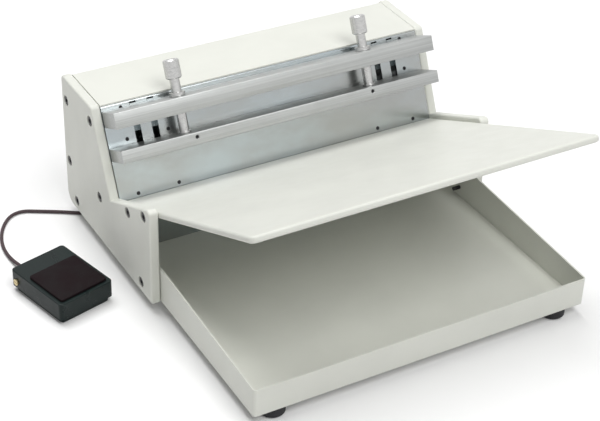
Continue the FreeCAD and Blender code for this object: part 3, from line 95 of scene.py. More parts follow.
class ShaderSheet:
    """Builds the nodes of one material around a Principled shader."""

    FINE_WEIGHT = 0.55
    FACTOR_START = 0.3
    FACTOR_END = 0.7

    def __init__(self, name: str) -> None:
        """Starts an empty material.

        Args:
            name: The material's name.
        """
        self.material = bpy.data.materials.new(name)
        self.material.use_nodes = True
        self.tree = self.material.node_tree
        self.shader = self.tree.nodes["Principled BSDF"]
        self.place = self.tree.nodes.new("ShaderNodeTexCoord").outputs["Object"]

    def set(self, **values: float) -> None:
        """Sets plain numbers on the shader's own sockets, named with underscores for spaces."""
        for name, value in values.items():
            self.shader.inputs[name.replace("_", " ")].default_value = value

    def stretched(self, scale: Iterable[float]) -> bpy.types.NodeSocket:
        """Returns stretched Object coordinates.

        Args:
            scale: Stretch along the three axes.

        Returns:
            The socket with the mapped place.
        """
        mapping = self.tree.nodes.new("ShaderNodeMapping")
        mapping.inputs["Scale"].default_value = tuple(scale)
        self.tree.links.new(self.place, mapping.inputs["Vector"])
        return mapping.outputs["Vector"]

    def noise(self, scale: float, detail: float = 3.0,
              place: Optional[bpy.types.NodeSocket] = None) -> bpy.types.NodeSocket:
        """Returns a grey noise.

        Args:
            scale: Noise cells per metre, or per unit of the given place.
            detail: Octaves of finer noise.
            place: Coordinates to read, or Object coordinates.

        Returns:
            The noise's factor socket.
        """
        node = self.tree.nodes.new("ShaderNodeTexNoise")
        node.inputs["Scale"].default_value = scale
        node.inputs["Detail"].default_value = detail
        node.inputs["Roughness"].default_value = self.FINE_WEIGHT
        self.tree.links.new(place or self.place, node.inputs["Vector"])
        return node.outputs["Fac"]

    def ramp(self, factor: bpy.types.NodeSocket, low: float, high: float) -> bpy.types.NodeSocket:
        """Returns a factor brought into a range.

        Args:
            factor: The socket to read.
            low: Value where the factor is low.
            high: Value where the factor is high.

        Returns:
            The ranged value's socket.
        """
        node = self.tree.nodes.new("ShaderNodeMapRange")
        node.interpolation_type = "SMOOTHSTEP"
        node.inputs["From Min"].default_value = self.FACTOR_START
        node.inputs["From Max"].default_value = self.FACTOR_END
        node.inputs["To Min"].default_value = low
        node.inputs["To Max"].default_value = high
        self.tree.links.new(factor, node.inputs["Value"])
        return node.outputs["Result"]

    def blend(self, factor: bpy.types.NodeSocket, first: tuple, second: tuple) -> bpy.types.NodeSocket:
        """Returns a colour that goes from one tint to another.

        Args:
            factor: The socket to read.
            first: Colour where the factor is low.
            second: Colour where the factor is high.

        Returns:
            The colour socket.
        """
        node = self.tree.nodes.new("ShaderNodeValToRGB")
        node.color_ramp.interpolation = "EASE"
        ends = ((self.FACTOR_START, first), (self.FACTOR_END, second))
        for stop, (position, colour) in zip(node.color_ramp.elements, ends):
            stop.position = position
            stop.color = (*colour, 1.0)
        self.tree.links.new(factor, node.inputs["Fac"])
        return node.outputs["Color"]

    def wire(self, socket: bpy.types.NodeSocket, name: str) -> None:
        """Leads a socket into the shader's named input."""
        self.tree.links.new(socket, self.shader.inputs[name])

    def tint(self, factor: bpy.types.NodeSocket, colour: tuple, tints: tuple) -> None:
        """Leads a colour that follows a factor into the shader.

        Args:
            factor: The socket to read.
            colour: The finish's own colour.
            tints: Shares of that colour where the factor is low and where it is high.
        """
        dark, light = (shade(colour, share) for share in tints)
        self.wire(self.blend(factor, dark, light), "Base Color")

    def sheen(self, factor: bpy.types.NodeSocket, roughness: float, spread: tuple) -> None:
        """Leads a roughness that follows a factor into the shader.

        Args:
            factor: The socket to read.
            roughness: The finish's own roughness.
            spread: What is added to it where the factor is low and where it is high.
        """
        low, high = (roughness + change for change in spread)
        self.wire(self.ramp(factor, low, high), "Roughness")

    def bump(self, *layers: tuple[bpy.types.NodeSocket, float, float]) -> None:
        """Stacks bumps into the shader's normal.

        Args:
            layers: Height socket, strength and depth in metres of each bump.
        """
        below = None
        for height, strength, depth in layers:
            node = self.tree.nodes.new("ShaderNodeBump")
            node.inputs["Strength"].default_value = strength
            node.inputs["Distance"].default_value = depth
            self.tree.links.new(height, node.inputs["Height"])
            if below is not None:
                self.tree.links.new(below, node.inputs["Normal"])
            below = node.outputs["Normal"]
        self.wire(below, "Normal")


@dataclass(frozen=True)
class Paint:
    """Baked powder paint with a fine orange peel, faint dust and handling marks."""

    name: str
    colour: tuple
    roughness: float = 0.42
    spread: tuple = (-0.05, 0.07)
    peel: float = 1100.0
    peel_bump: tuple = (0.16, 0.2 * MM)
    grit: float = 3300.0
    grit_bump: tuple = (0.08, 0.1 * MM)
    cloud: float = 14.0
    smear: float = 60.0
    smear_stretch: tuple = (1.0, 1.0, 0.35)
    tints: tuple = (0.965, 1.015)
    gloss: float = 0.45

    def make(self) -> bpy.types.Material:
        """Builds the shader of this finish.

        Returns:
            The material.
        """
        sheet = ShaderSheet(self.name)
        sheet.tint(sheet.noise(self.cloud, detail=4.0), self.colour, self.tints)
        smear = sheet.noise(self.smear, detail=5.0, place=sheet.stretched(self.smear_stretch))
        sheet.sheen(smear, self.roughness, self.spread)
        sheet.bump((sheet.noise(self.peel, detail=2.0), *self.peel_bump),
                   (sheet.noise(self.grit, detail=1.0), *self.grit_bump))
        sheet.set(Specular_IOR_Level=self.gloss)
        return sheet.material


@dataclass(frozen=True)
class Brushed:
    """Metal with fine strokes, blotches of handling and a soft sheen."""

    name: str
    colour: tuple
    stroke: Stroke
    roughness: float = 0.3
    spread: tuple = (-0.06, 0.1)
    metallic: float = 1.0
    blotch: float = 38.0
    tints: tuple = (0.86, 1.06)
    stroke_bump: tuple = (0.12, 0.06 * MM)

    def make(self) -> bpy.types.Material:
        """Builds the shader of this finish.

        Returns:
            The material.
        """
        sheet = ShaderSheet(self.name)
        strokes = sheet.noise(1.0, detail=4.0, place=sheet.stretched(self.stroke.value))
        sheet.tint(strokes, self.colour, self.tints)
        sheet.sheen(sheet.noise(self.blotch, detail=4.0), self.roughness, self.spread)
        sheet.bump((strokes, *self.stroke_bump))
        sheet.set(Metallic=self.metallic)
        return sheet.material


@dataclass(frozen=True)
class Plated:
    """Bright zinc plating: cool, with duller and warmer clouds and a faint rolling grain."""

    name: str
    colour: tuple
    dull: tuple
    roughness: float = 0.17
    spread: tuple = (0.08, -0.05)
    cloud: float = 11.0
    cloud_stretch: tuple = (1.0, 1.6, 1.6)
    wave: float = 26.0
    wave_bump: tuple = (0.06, 1.2 * MM)
    grain_stretch: tuple = (9.0, 520.0, 520.0)
    grain_bump: tuple = (0.05, 0.05 * MM)
    dull_tint: float = 0.86

    def make(self) -> bpy.types.Material:
        """Builds the shader of this finish.

        Returns:
            The material.
        """
        sheet = ShaderSheet(self.name)
        cloud = sheet.noise(self.cloud, detail=5.0, place=sheet.stretched(self.cloud_stretch))
        sheet.wire(sheet.blend(cloud, shade(self.dull, self.dull_tint), self.colour), "Base Color")
        grain = sheet.noise(1.0, place=sheet.stretched(self.grain_stretch))
        sheet.sheen(cloud, self.roughness, self.spread)
        sheet.bump((grain, *self.grain_bump), (sheet.noise(self.wave, detail=2.0), *self.wave_bump))
        sheet.set(Metallic=1.0)
        return sheet.material


@dataclass(frozen=True)
class Rubber:
    """Matt rubber with a fine skin and a little bloom."""

    name: str
    colour: tuple
    roughness: float = 0.72
    spread: tuple = (-0.07, 0.1)
    skin: float = 1600.0
    skin_bump: tuple = (0.25, 0.2 * MM)
    gloss: float = 0.35
    bloom: float = 55.0
    tints: tuple = (0.8, 1.35)

    def make(self) -> bpy.types.Material:
        """Builds the shader of this finish.

        Returns:
            The material.
        """
        sheet = ShaderSheet(self.name)
        bloom = sheet.noise(self.bloom, detail=4.0)
        sheet.tint(bloom, self.colour, self.tints)
        sheet.sheen(bloom, self.roughness, self.spread)
        sheet.bump((sheet.noise(self.skin, detail=2.0), *self.skin_bump))
        sheet.set(Specular_IOR_Level=self.gloss)
        return sheet.material


@dataclass(frozen=True)
class Moulded:
    """Moulded plastic with a spark-eroded grain."""

    name: str
    colour: tuple
    roughness: float = 0.45
    spread: tuple = (-0.06, 0.12)
    grain: float = 1300.0
    grain_bump: tuple = (0.22, 0.15 * MM)
    gloss: float = 0.42
    haze: float = 24.0
    scuff: float = 90.0
    scuff_stretch: tuple = (1.0, 0.3, 1.0)
    tints: tuple = (0.88, 1.14)

    def make(self) -> bpy.types.Material:
        """Builds the shader of this finish.

        Returns:
            The material.
        """
        sheet = ShaderSheet(self.name)
        sheet.tint(sheet.noise(self.haze, detail=4.0), self.colour, self.tints)
        scuff = sheet.noise(self.scuff, detail=5.0, place=sheet.stretched(self.scuff_stretch))
        sheet.sheen(scuff, self.roughness, self.spread)
        sheet.bump((sheet.noise(self.grain, detail=2.0), *self.grain_bump))
        sheet.set(Specular_IOR_Level=self.gloss)
        return sheet.material


@dataclass(frozen=True)
class Board:
    """Solder mask over a net of copper tracks."""

    name: str
    colour: tuple
    pitch: float = 60.0
    track: float = 0.03
    weave: float = 700.0
    weave_bump: tuple = (0.1, 0.1 * MM)
    roughness: float = 0.32
    tints: tuple = (("Color1", 0.9), ("Color2", 1.1), ("Mortar", 1.9))

    def make(self) -> bpy.types.Material:
        """Builds the shader of this finish.

        Returns:
            The material.
        """
        sheet = ShaderSheet(self.name)
        tracks = sheet.tree.nodes.new("ShaderNodeTexBrick")
        tracks.inputs["Scale"].default_value = self.pitch
        tracks.inputs["Mortar Size"].default_value = self.track
        for socket, tint in self.tints:
            tracks.inputs[socket].default_value = (*shade(self.colour, tint), 1.0)
        sheet.tree.links.new(sheet.place, tracks.inputs["Vector"])
        sheet.wire(tracks.outputs["Color"], "Base Color")
        sheet.bump((sheet.noise(self.weave, detail=2.0), *self.weave_bump))
        sheet.set(Roughness=self.roughness)
        return sheet.material


FINISHES = {
    "white_paint": Paint("cream_powder_paint", (0.70, 0.709, 0.653)),
    "zinc": Plated("bright_zinc", (0.435, 0.482, 0.50), (0.447, 0.458, 0.444)),
    "jaw_metal": Brushed("brushed_jaw_bar", (0.43, 0.44, 0.434), Stroke.ALONG_X, roughness=0.46),
    "bright_steel": Brushed("turned_steel", (0.555, 0.555, 0.547), Stroke.ROUND, roughness=0.26),
    "black_screw": Brushed("black_oxide_steel", (0.035, 0.035, 0.038), Stroke.ROUND,
                           roughness=0.42, metallic=0.6),
    "bronze": Brushed("sintered_bronze", (0.60, 0.50, 0.29), Stroke.ROUND, roughness=0.34),
    "black_rubber": Rubber("black_foot_rubber", (0.022, 0.022, 0.024)),
    "gear_case": Paint("grey_case_paint", (0.12, 0.13, 0.145), roughness=0.5),
    "board_green": Board("solder_mask", (0.03, 0.14, 0.06)),
    "black_plastic": Moulded("black_moulding", (0.022, 0.022, 0.025)),
    "pedal_shell": Moulded("pedal_moulding", (0.006, 0.0125, 0.0118), roughness=0.3, gloss=0.2),
    "pedal_rubber": Rubber("pedal_pad_rubber", (0.0055, 0.0022, 0.003),
                           roughness=0.64, skin=1100.0, gloss=0.11),
    "cord_sheath": Rubber("cord_sheath", (0.005, 0.0022, 0.003), roughness=0.5, skin=2600.0, gloss=0.07),
    "tie_plastic": Moulded("tie_band", (0.62, 0.62, 0.58)),
}


def material_for(slot: str) -> bpy.types.Material:
    """Returns the material of a record slot, made once."""
    finish = FINISHES[slot]
    return bpy.data.materials.get(finish.name) or finish.make()


def dress_nodes() -> None:
    """Puts a finish on every CAD node, by the record's slots."""
    for entry in frame["record"]["subparts"]:
        node = frame["nodes"][entry["node"]]
        node.data.materials.clear()
        node.data.materials.append(material_for(entry["material_slot"]))
        log.info("%s dressed in %s", entry["node"], entry["material_slot"])


def alone() -> None:
    """Leaves nothing selected, so that the next operator acts on its own piece."""
    bpy.ops.object.select_all(action="DESELECT")


def finish_piece(piece: bpy.types.Object, name: str, body: str, slot: str,
                 nodes: tuple[str, ...] = ()) -> None:
    """Names a piece, applies its place, dresses it and ties it to a CAD body.

    Args:
        piece: The object to finish.
        name: Its name.
        body: The CAD body that it moves with.
        slot: The record's material slot.
        nodes: CAD nodes that it stands for.
    """
    alone()
    piece.select_set(True)
    bpy.context.view_layer.objects.active = piece
    bpy.ops.object.transform_apply(location=True, rotation=True, scale=True)
    piece.name = name
    piece.data.name = name
    piece.data.materials.clear()
    piece.data.materials.append(material_for(slot))
    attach(piece, body)
    if nodes:
        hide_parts(*nodes)
    log.info("%s rides on %s", name, body)


def turned_piece(outline: list[tuple[float, float]], sides: int = 48) -> bpy.types.Object:
    """Turns a solid about Z by extruding a disc from radius to radius.

    Args:
        outline: Radius and height of each ring, from the first end to the last.
        sides: Corners of each ring.

    Returns:
        The new object, closed at both ends.
    """
    alone()
    first_radius, first_height = outline[0]
    bpy.ops.mesh.primitive_circle_add(vertices=sides, radius=first_radius, fill_type="NGON",
                                      location=(0.0, 0.0, first_height))
    piece = bpy.context.object
    bpy.ops.object.transform_apply(location=True)
    bpy.ops.object.mode_set(mode="EDIT")
    bpy.ops.mesh.select_all(action="SELECT")
    for (radius, height), (next_radius, next_height) in zip(outline, outline[1:]):
        bpy.ops.mesh.extrude_region_move(TRANSFORM_OT_translate={"value": (0.0, 0.0, next_height - height)})
        share = next_radius / radius
        bpy.ops.transform.resize(value=(share, share, 1.0), center_override=(0.0, 0.0, next_height))
    bpy.ops.mesh.select_all(action="SELECT")
    bpy.ops.mesh.normals_make_consistent(inside=False)
    bpy.ops.object.mode_set(mode="OBJECT")
    bpy.ops.object.shade_smooth_by_angle(angle=TURNED_SMOOTH)
    return piece


def hollowed(piece: bpy.types.Object, cutter: bpy.types.Object) -> None:
    """Takes a cutter out of a piece and removes the cutter.

    Args:
        piece: The object to cut.
        cutter: The closed object to take away.
    """
    alone()
    bpy.context.view_layer.objects.active = piece
    step = piece.modifiers.new("hollow", "BOOLEAN")
    step.operation = "DIFFERENCE"
    step.solver = "EXACT"
    step.object = cutter
    bpy.ops.object.modifier_apply(modifier=step.name)
    bpy.data.objects.remove(cutter, do_unlink=True)


def standing(at: Vector, axis: Vector) -> Matrix:
    """Returns the placement of a piece that was modelled upright.

    Args:
        at: Where its own origin goes.
        axis: Where its own Z goes.

    Returns:
        The world matrix.
    """
    turn = UPRIGHT.rotation_difference(axis)
    return Matrix.Translation(at) @ turn.to_matrix().to_4x4()


def copies(model: bpy.types.Object, places: list[Matrix]) -> bpy.types.Object:
    """Copies a model to several places, joins the copies and removes the model.

    Args:
        model: The object to repeat.
        places: One world matrix for each copy.

    Returns:
        The joined object.
    """
    made = []
    for place in places:
        twin = model.copy()
        twin.data = model.data.copy()
        bpy.context.collection.objects.link(twin)
        twin.matrix_world = place
        made.append(twin)
    bpy.data.objects.remove(model, do_unlink=True)
    alone()
    for twin in made:
        twin.select_set(True)
    bpy.context.view_layer.objects.active = made[0]
    bpy.ops.object.join()
    return bpy.context.object


def solids_of(node: str) -> list[tuple[Vector, Vector]]:
    """Returns the lowest and highest corner of each separate solid of a CAD node.

    Args:
        node: The node's name.

    Returns:
        One pair of corners for each solid, in the row frame, from left to right.
    """
    mesh = bmesh.new()
    mesh.from_mesh(frame["nodes"][node].data)
    bmesh.ops.remove_doubles(mesh, verts=mesh.verts, dist=SAME_PLACE)
    waiting = set(mesh.verts)
    boxes = []
    while waiting:
        edge_of_search = [waiting.pop()]
        found = list(edge_of_search)
        while edge_of_search:
            vertex = edge_of_search.pop()
            near = {edge.other_vert(vertex) for edge in vertex.link_edges} & waiting
            waiting -= near
            edge_of_search.extend(near)
            found.extend(near)
        low = Vector([min(vertex.co[i] for vertex in found) for i in range(3)])
        high = Vector([max(vertex.co[i] for vertex in found) for i in range(3)])
        boxes.append((low, high))
    mesh.free()
    return sorted(boxes, key=lambda box: tuple(box[0]))


def pick(piece: bpy.types.Object, kind: str, test: Callable) -> None:
    """Selects the edges or faces of a piece in edit mode that pass a test, and nothing else.

    Args:
        piece: The object in edit mode.
        kind: "EDGE" or "FACE".
        test: Says of one bmesh edge or face whether it is wanted.
    """
    bpy.ops.mesh.select_mode(type=kind)
    bpy.ops.mesh.select_all(action="DESELECT")
    mesh = bmesh.from_edit_mesh(piece.data)
    mesh.normal_update()
    for element in mesh.edges if kind == "EDGE" else mesh.faces:
        if test(element):
            element.select_set(True)
    bmesh.update_edit_mesh(piece.data)


def joint_named(name: str) -> dict:
    """Returns a joint of the record by its name."""
    return next(joint for joint in frame["record"]["behaviour"]["joints"] if joint["name"] == name)


@dataclass
class SocketScrew:
    """A black screw with a hexagon socket in its head."""

    head_radius: float
    head_height: float
    shank_radius: float
    length: float
    socket_share: float = 0.5
    depth_share: float = 0.6
    chamfer_share: float = 0.12
    sides: int = 32
    socket_sides: int = 6

    def build(self) -> bpy.types.Object:
        """Models one screw, head up.

        Returns:
            The screw, with the middle of its head at the origin.
        """
        chamfer = self.head_radius * self.chamfer_share
        piece = turned_piece([
            (self.shank_radius, -self.length),
            (self.shank_radius, -self.head_height),
            (self.head_radius, -self.head_height),
            (self.head_radius, -chamfer),
            (self.head_radius - chamfer, 0.0),
        ], self.sides)
        alone()
        bpy.ops.mesh.primitive_cylinder_add(vertices=self.socket_sides,
                                            radius=self.head_radius * self.socket_share,
                                            depth=self.head_radius * self.depth_share * 2)
        hollowed(piece, bpy.context.object)
        return piece


@dataclass
class Fasteners:
    """The screws that show on the side plates, the front panel and the lower jaw bar."""

    side_head_height: float = 4.0 * MM
    side_shank_radius: float = 2.0 * MM
    face_shank_share: float = 0.85

    def side_screws(self) -> None:
        """Models the screws of both side plates from the places of their solids."""
        boxes = solids_of("side_screws")
        middle = sum(low.x + high.x for low, high in boxes) / (2 * len(boxes))
        places = []
        for low, high in boxes:
            centre = (low + high) / 2
            outward = Side.LEFT if centre.x < middle else Side.RIGHT
            head = Vector((low.x if outward is Side.LEFT else high.x, centre.y, centre.z))
            places.append(standing(head, Vector((outward.value, 0.0, 0.0))))
        low, high = boxes[0]
        model = SocketScrew((high.z - low.z) / 2, self.side_head_height, self.side_shank_radius,
                            high.x - low.x).build()
        finish_piece(copies(model, places), "side_plate_screws", "housing", "black_screw", ("side_screws",))

    def face_screws(self, node: str, name: str) -> None:
        """Models the screws that stand square to the slanted face.

        Args:
            node: The CAD node that holds their solids.
            name: The new piece's name.
        """
        boxes = solids_of(node)
        low, high = boxes[0]
        radius = (high.x - low.x) / 2
        length = (high.y - low.y - 2 * radius * math.sin(SLANT)) / math.cos(SLANT)
        places = [standing((low + high) / 2 + OUT_OF_FACE * (length / 2), OUT_OF_FACE) for low, high in boxes]
        model = SocketScrew(radius, radius, radius * self.face_shank_share, length).build()
        finish_piece(copies(model, places), name, "housing", "black_screw", (node,))

    def build(self) -> None:
        """Models every visible screw."""
        self.side_screws()
        self.face_screws("panel_screws", "front_panel_screws")
        self.face_screws("lower_jaw_screws", "jaw_bar_screws")


@dataclass(frozen=True)
class Bore:
    """A drilled hole with a chamfer at both ends."""

    at: Vector
    axis: Vector
    radius: float
    length: float
    chamfer: float = 0.35 * MM

    def cutter(self) -> bpy.types.Object:
        """Models what the drill takes away.

        Returns:
            The closed form at its place.
        """
        half = self.length / 2
        piece = turned_piece([
            (self.radius + self.chamfer * 2, -half - self.chamfer),
            (self.radius, self.chamfer - half),
            (self.radius, half - self.chamfer),
            (self.radius + self.chamfer * 2, half + self.chamfer),
        ])
        piece.matrix_world = standing(self.at, self.axis)
        return piece


@dataclass
class JawBar:
    """A ground bar across the machine, with broken edges and drilled holes."""

    node: str
    body: str
    depth: float = 32.0 * MM
    edge: float = 0.35 * MM
    edge_steps: int = 3

    def __post_init__(self) -> None:
        """Reads the bar's middle, length and height from its CAD node."""
        low, high = (Vector(corner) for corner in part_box(self.node))
        self.middle = (low + high) / 2
        self.length = high.x - low.x
        self.height = (high.z - low.z - self.depth * math.sin(SLANT)) / math.cos(SLANT)

    def rod_bore(self, side: Side, radius: float, inward: float = 0.0) -> Bore:
        """Returns a hole up the bar at an adjuster rod.

        Args:
            side: The rod's side.
            radius: The hole's radius.
            inward: Distance from the rod towards the machine's middle.

        Returns:
            The hole.
        """
        foot = Vector(joint_named(f"{side.word}_adjuster_turn")["pos_m"])
        foot.x -= side.value * inward
        return Bore(foot + UP_SLOPE * (self.middle - foot).dot(UP_SLOPE), UP_SLOPE, radius, self.height)

    def build(self, bores: list[Bore]) -> None:
        """Models the bar.

        Args:
            bores: The holes through it.
        """
        alone()
        bpy.ops.mesh.primitive_cube_add(size=1.0, location=self.middle, rotation=(-SLANT, 0.0, 0.0))
        piece = bpy.context.object
        piece.scale = (self.length, self.depth, self.height)
        bpy.ops.object.transform_apply(location=False, rotation=False, scale=True)
        bpy.ops.object.mode_set(mode="EDIT")
        bpy.ops.mesh.select_all(action="SELECT")
        bpy.ops.mesh.bevel(offset=self.edge, segments=self.edge_steps, affect="EDGES")
        bpy.ops.object.mode_set(mode="OBJECT")
        for bore in bores:
            hollowed(piece, bore.cutter())
        alone()
        piece.select_set(True)
        bpy.context.view_layer.objects.active = piece
        bpy.ops.object.shade_smooth_by_angle(angle=TURNED_SMOOTH)
        finish_piece(piece, f"ground_{self.node}", self.body, "jaw_metal", (self.node,))


@dataclass
class Jaws:
    """The moving upper bar and the fixed lower bar."""

    rod_hole: float = 5.4 * MM
    pin_hole: float = 1.6 * MM
    pin_inward: float = 6.6 * MM
    journal_hole: float = 3.05 * MM
    screw_gap: float = 0.05 * MM

    def build(self) -> None:
        """Models both bars with the holes of the rods, the stop pins and the screws."""
        upper = JawBar("upper_jaw_bar", "jaw")
        lower = JawBar("lower_jaw_bar", "housing")
        upper_bores, lower_bores = [], []
        for side in Side:
            upper_bores.append(upper.rod_bore(side, self.rod_hole))
            upper_bores.append(upper.rod_bore(side, self.pin_hole, self.pin_inward))
            lower_bores.append(lower.rod_bore(side, self.journal_hole))
        for low, high in solids_of("lower_jaw_screws"):
            centre = (low + high) / 2
            at = centre + OUT_OF_FACE * (lower.middle - centre).dot(OUT_OF_FACE)
            lower_bores.append(Bore(at, OUT_OF_FACE, (high.x - low.x) / 2 + self.screw_gap, lower.depth))
        upper.build(upper_bores)
        lower.build(lower_bores)


@dataclass
class AdjusterKnob:
    """A knurled thumb knob on top of an adjuster rod."""

    side: Side
    radius: float = 8.0 * MM
    bottom: float = 10.0 * MM
    top: float = 29.0 * MM
    chamfer: float = 1.2 * MM
    knurls: int = 72
    knurl_depth: float = 0.1 * MM
    knurl_smooth: float = math.radians(12.0)
    plain_end: float = 1.8 * MM
    rim: float = 0.8 * MM

    def blank(self) -> bpy.types.Object:
        """Turns the plain knob, with a shallow dish in its top.

        Returns:
            The knob, upright on its axis.
        """
        return turned_piece([
            (self.radius - self.chamfer, self.bottom),
            (self.radius, self.bottom + self.chamfer),
            (self.radius, self.bottom + self.chamfer * 2),
            (self.radius, self.top - self.chamfer * 2),
            (self.radius, self.top - self.chamfer),
            (self.radius - self.chamfer, self.top),
            (self.radius - self.chamfer - self.rim * 2, self.top),
            (self.radius - self.chamfer - self.rim * 3, self.top - self.rim / 2),
        ], self.knurls * 2)

    def knurl(self, piece: bpy.types.Object) -> None:
        """Draws in every second corner of the grip.

        Args:
            piece: The plain knob.
        """
        bpy.context.view_layer.objects.active = piece
        bpy.ops.object.mode_set(mode="EDIT")
        mesh = bmesh.from_edit_mesh(piece.data)
        step = math.pi / self.knurls
        for vertex in mesh.verts:
            index = round(math.atan2(vertex.co.y, vertex.co.x) / step)
            grip = self.bottom + self.plain_end < vertex.co.z < self.top - self.plain_end
            vertex.select = grip and index % 2 == 0
        mesh.select_flush_mode()
        bmesh.update_edit_mesh(piece.data)
        share = 1.0 - self.knurl_depth / self.radius
        bpy.ops.transform.resize(value=(share, share, 1.0), center_override=(0.0, 0.0, 0.0))
        bpy.ops.object.mode_set(mode="OBJECT")
        bpy.ops.object.shade_smooth_by_angle(angle=self.knurl_smooth)

    def build(self) -> None:
        """Models the knob and puts it on its rod."""
        piece = self.blank()
        self.knurl(piece)
        foot = Vector(joint_named(f"{self.side.word}_adjuster_turn")["pos_m"])
        piece.matrix_world = standing(foot, UP_SLOPE)
        finish_piece(piece, f"{self.side.word}_knurled_knob", f"{self.side.word}_rod", "bright_steel",
                     (f"{self.side.word}_knob",))


@dataclass
class PedalPad:
    """The rubber pad under the foot, rolled over at its edges and crowned in the middle."""

    width: float = 54.0 * MM
    length: float = 52.0 * MM
    turn: float = math.radians(14.5)
    corner: float = 3.0 * MM
    corner_steps: int = 6
    roll: float = 0.8 * MM
    roll_steps: int = 4
    crown: float = 0.4 * MM
    rings: tuple = (0.8, 0.7, 0.5)
    smooth: float = math.radians(50.0)
    level: float = 0.999
    rim_share: float = 0.49

    def build(self) -> None:
        """Models the pad in the space of its CAD solid."""
        low, high = (Vector(corner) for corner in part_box("pedal_pad"))
        thickness = high.z - low.z - self.crown
        middle = (low + high) / 2
        middle.z = low.z + thickness / 2
        alone()
        bpy.ops.mesh.primitive_cube_add(size=1.0, location=middle, rotation=(0.0, 0.0, self.turn))
        piece = bpy.context.object
        piece.scale = (self.width, self.length, thickness)
        bpy.ops.object.transform_apply(location=False, rotation=False, scale=True)
        bpy.ops.object.mode_set(mode="EDIT")
        pick(piece, "EDGE", lambda edge: abs(edge.verts[0].co.z - edge.verts[1].co.z) > thickness / 2)
        bpy.ops.mesh.bevel(offset=self.corner, segments=self.corner_steps, affect="EDGES")
        rim = thickness * self.rim_share
        pick(piece, "EDGE", lambda edge: all(vertex.co.z > rim for vertex in edge.verts))
        bpy.ops.mesh.bevel(offset=self.roll, segments=self.roll_steps, affect="EDGES")
        pick(piece, "FACE", lambda face: face.normal.z > self.level)
        rise = self.crown / len(self.rings)
        for share in self.rings:
            bpy.ops.mesh.extrude_region_move(TRANSFORM_OT_translate={"value": (0.0, 0.0, rise)})
            bpy.ops.transform.resize(value=(share, share, 1.0), center_override=middle)
        bpy.ops.object.mode_set(mode="OBJECT")
        bpy.ops.object.shade_smooth_by_angle(angle=self.smooth)
        finish_piece(piece, "crowned_pedal_pad", "treadle", "pedal_rubber", ("pedal_pad",))


@dataclass
class PedalBumper:
    """The waisted rubber bumper that lifts the treadle."""

    outline: tuple = ((7.0, 0.0), (7.0, 2.0), (5.2, 3.4), (5.2, 6.0), (6.4, 7.2), (6.4, 9.0),
                      (5.2, 10.2), (5.2, 12.6), (6.4, 13.8), (6.4, 18.4), (5.6, 19.8), (4.2, 20.5))
    sides: int = 36
    pressed: float = 0.86

    def build(self) -> None:
        """Turns the bumper in the space of its CAD solid and fixes it to the housing."""
        low, high = (Vector(corner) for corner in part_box("pedal_bumper"))
        foot = Vector(((low.x + high.x) / 2, (low.y + high.y) / 2, low.z))
        piece = turned_piece([(radius * MM, height * MM) for radius, height in self.outline], self.sides)
        piece.location = foot
        finish_piece(piece, "waisted_pedal_bumper", "housing", "black_rubber", ("pedal_bumper",))
        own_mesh(piece)


@dataclass
class StrainRelief:
    """A ribbed rubber sleeve where the cord leaves a housing."""

    name: str
    node: str
    tip: Vector
    axis: Vector
    length: float
    start_radius: float
    end_radius: float
    ribs: int
    sides: int = 36
    collar_share: float = 0.12
    ribs_start: float = 0.14
    ribs_share: float = 0.84
    root_share: float = 0.92
    core_share: float = 0.86
    groove_depth: float = 0.35
    groove_end: float = 0.34
    rib_start: float = 0.42
    rib_end: float = 0.92

    def build(self) -> None:
        """Models the sleeve from its collar to its tip."""
        outline = [(self.start_radius, 0.0), (self.start_radius, self.length * self.collar_share)]
        pitch = self.length * self.ribs_share / self.ribs
        root = self.start_radius * self.root_share
        for step in range(self.ribs):
            start = self.length * self.ribs_start + step * pitch
            share = (step + 0.5) / self.ribs
            radius = root + (self.end_radius - root) * share
            groove = radius - (radius - self.end_radius * self.core_share) * self.groove_depth
            outline += [(groove, start), (groove, start + pitch * self.groove_end),
                        (radius, start + pitch * self.rib_start), (radius, start + pitch * self.rib_end)]
        outline.append((self.end_radius, self.length))
        piece = turned_piece(outline, self.sides)
        piece.matrix_world = standing(self.tip - self.axis * self.length, self.axis)
        finish_piece(piece, self.name, "housing", "black_plastic", (self.node,))


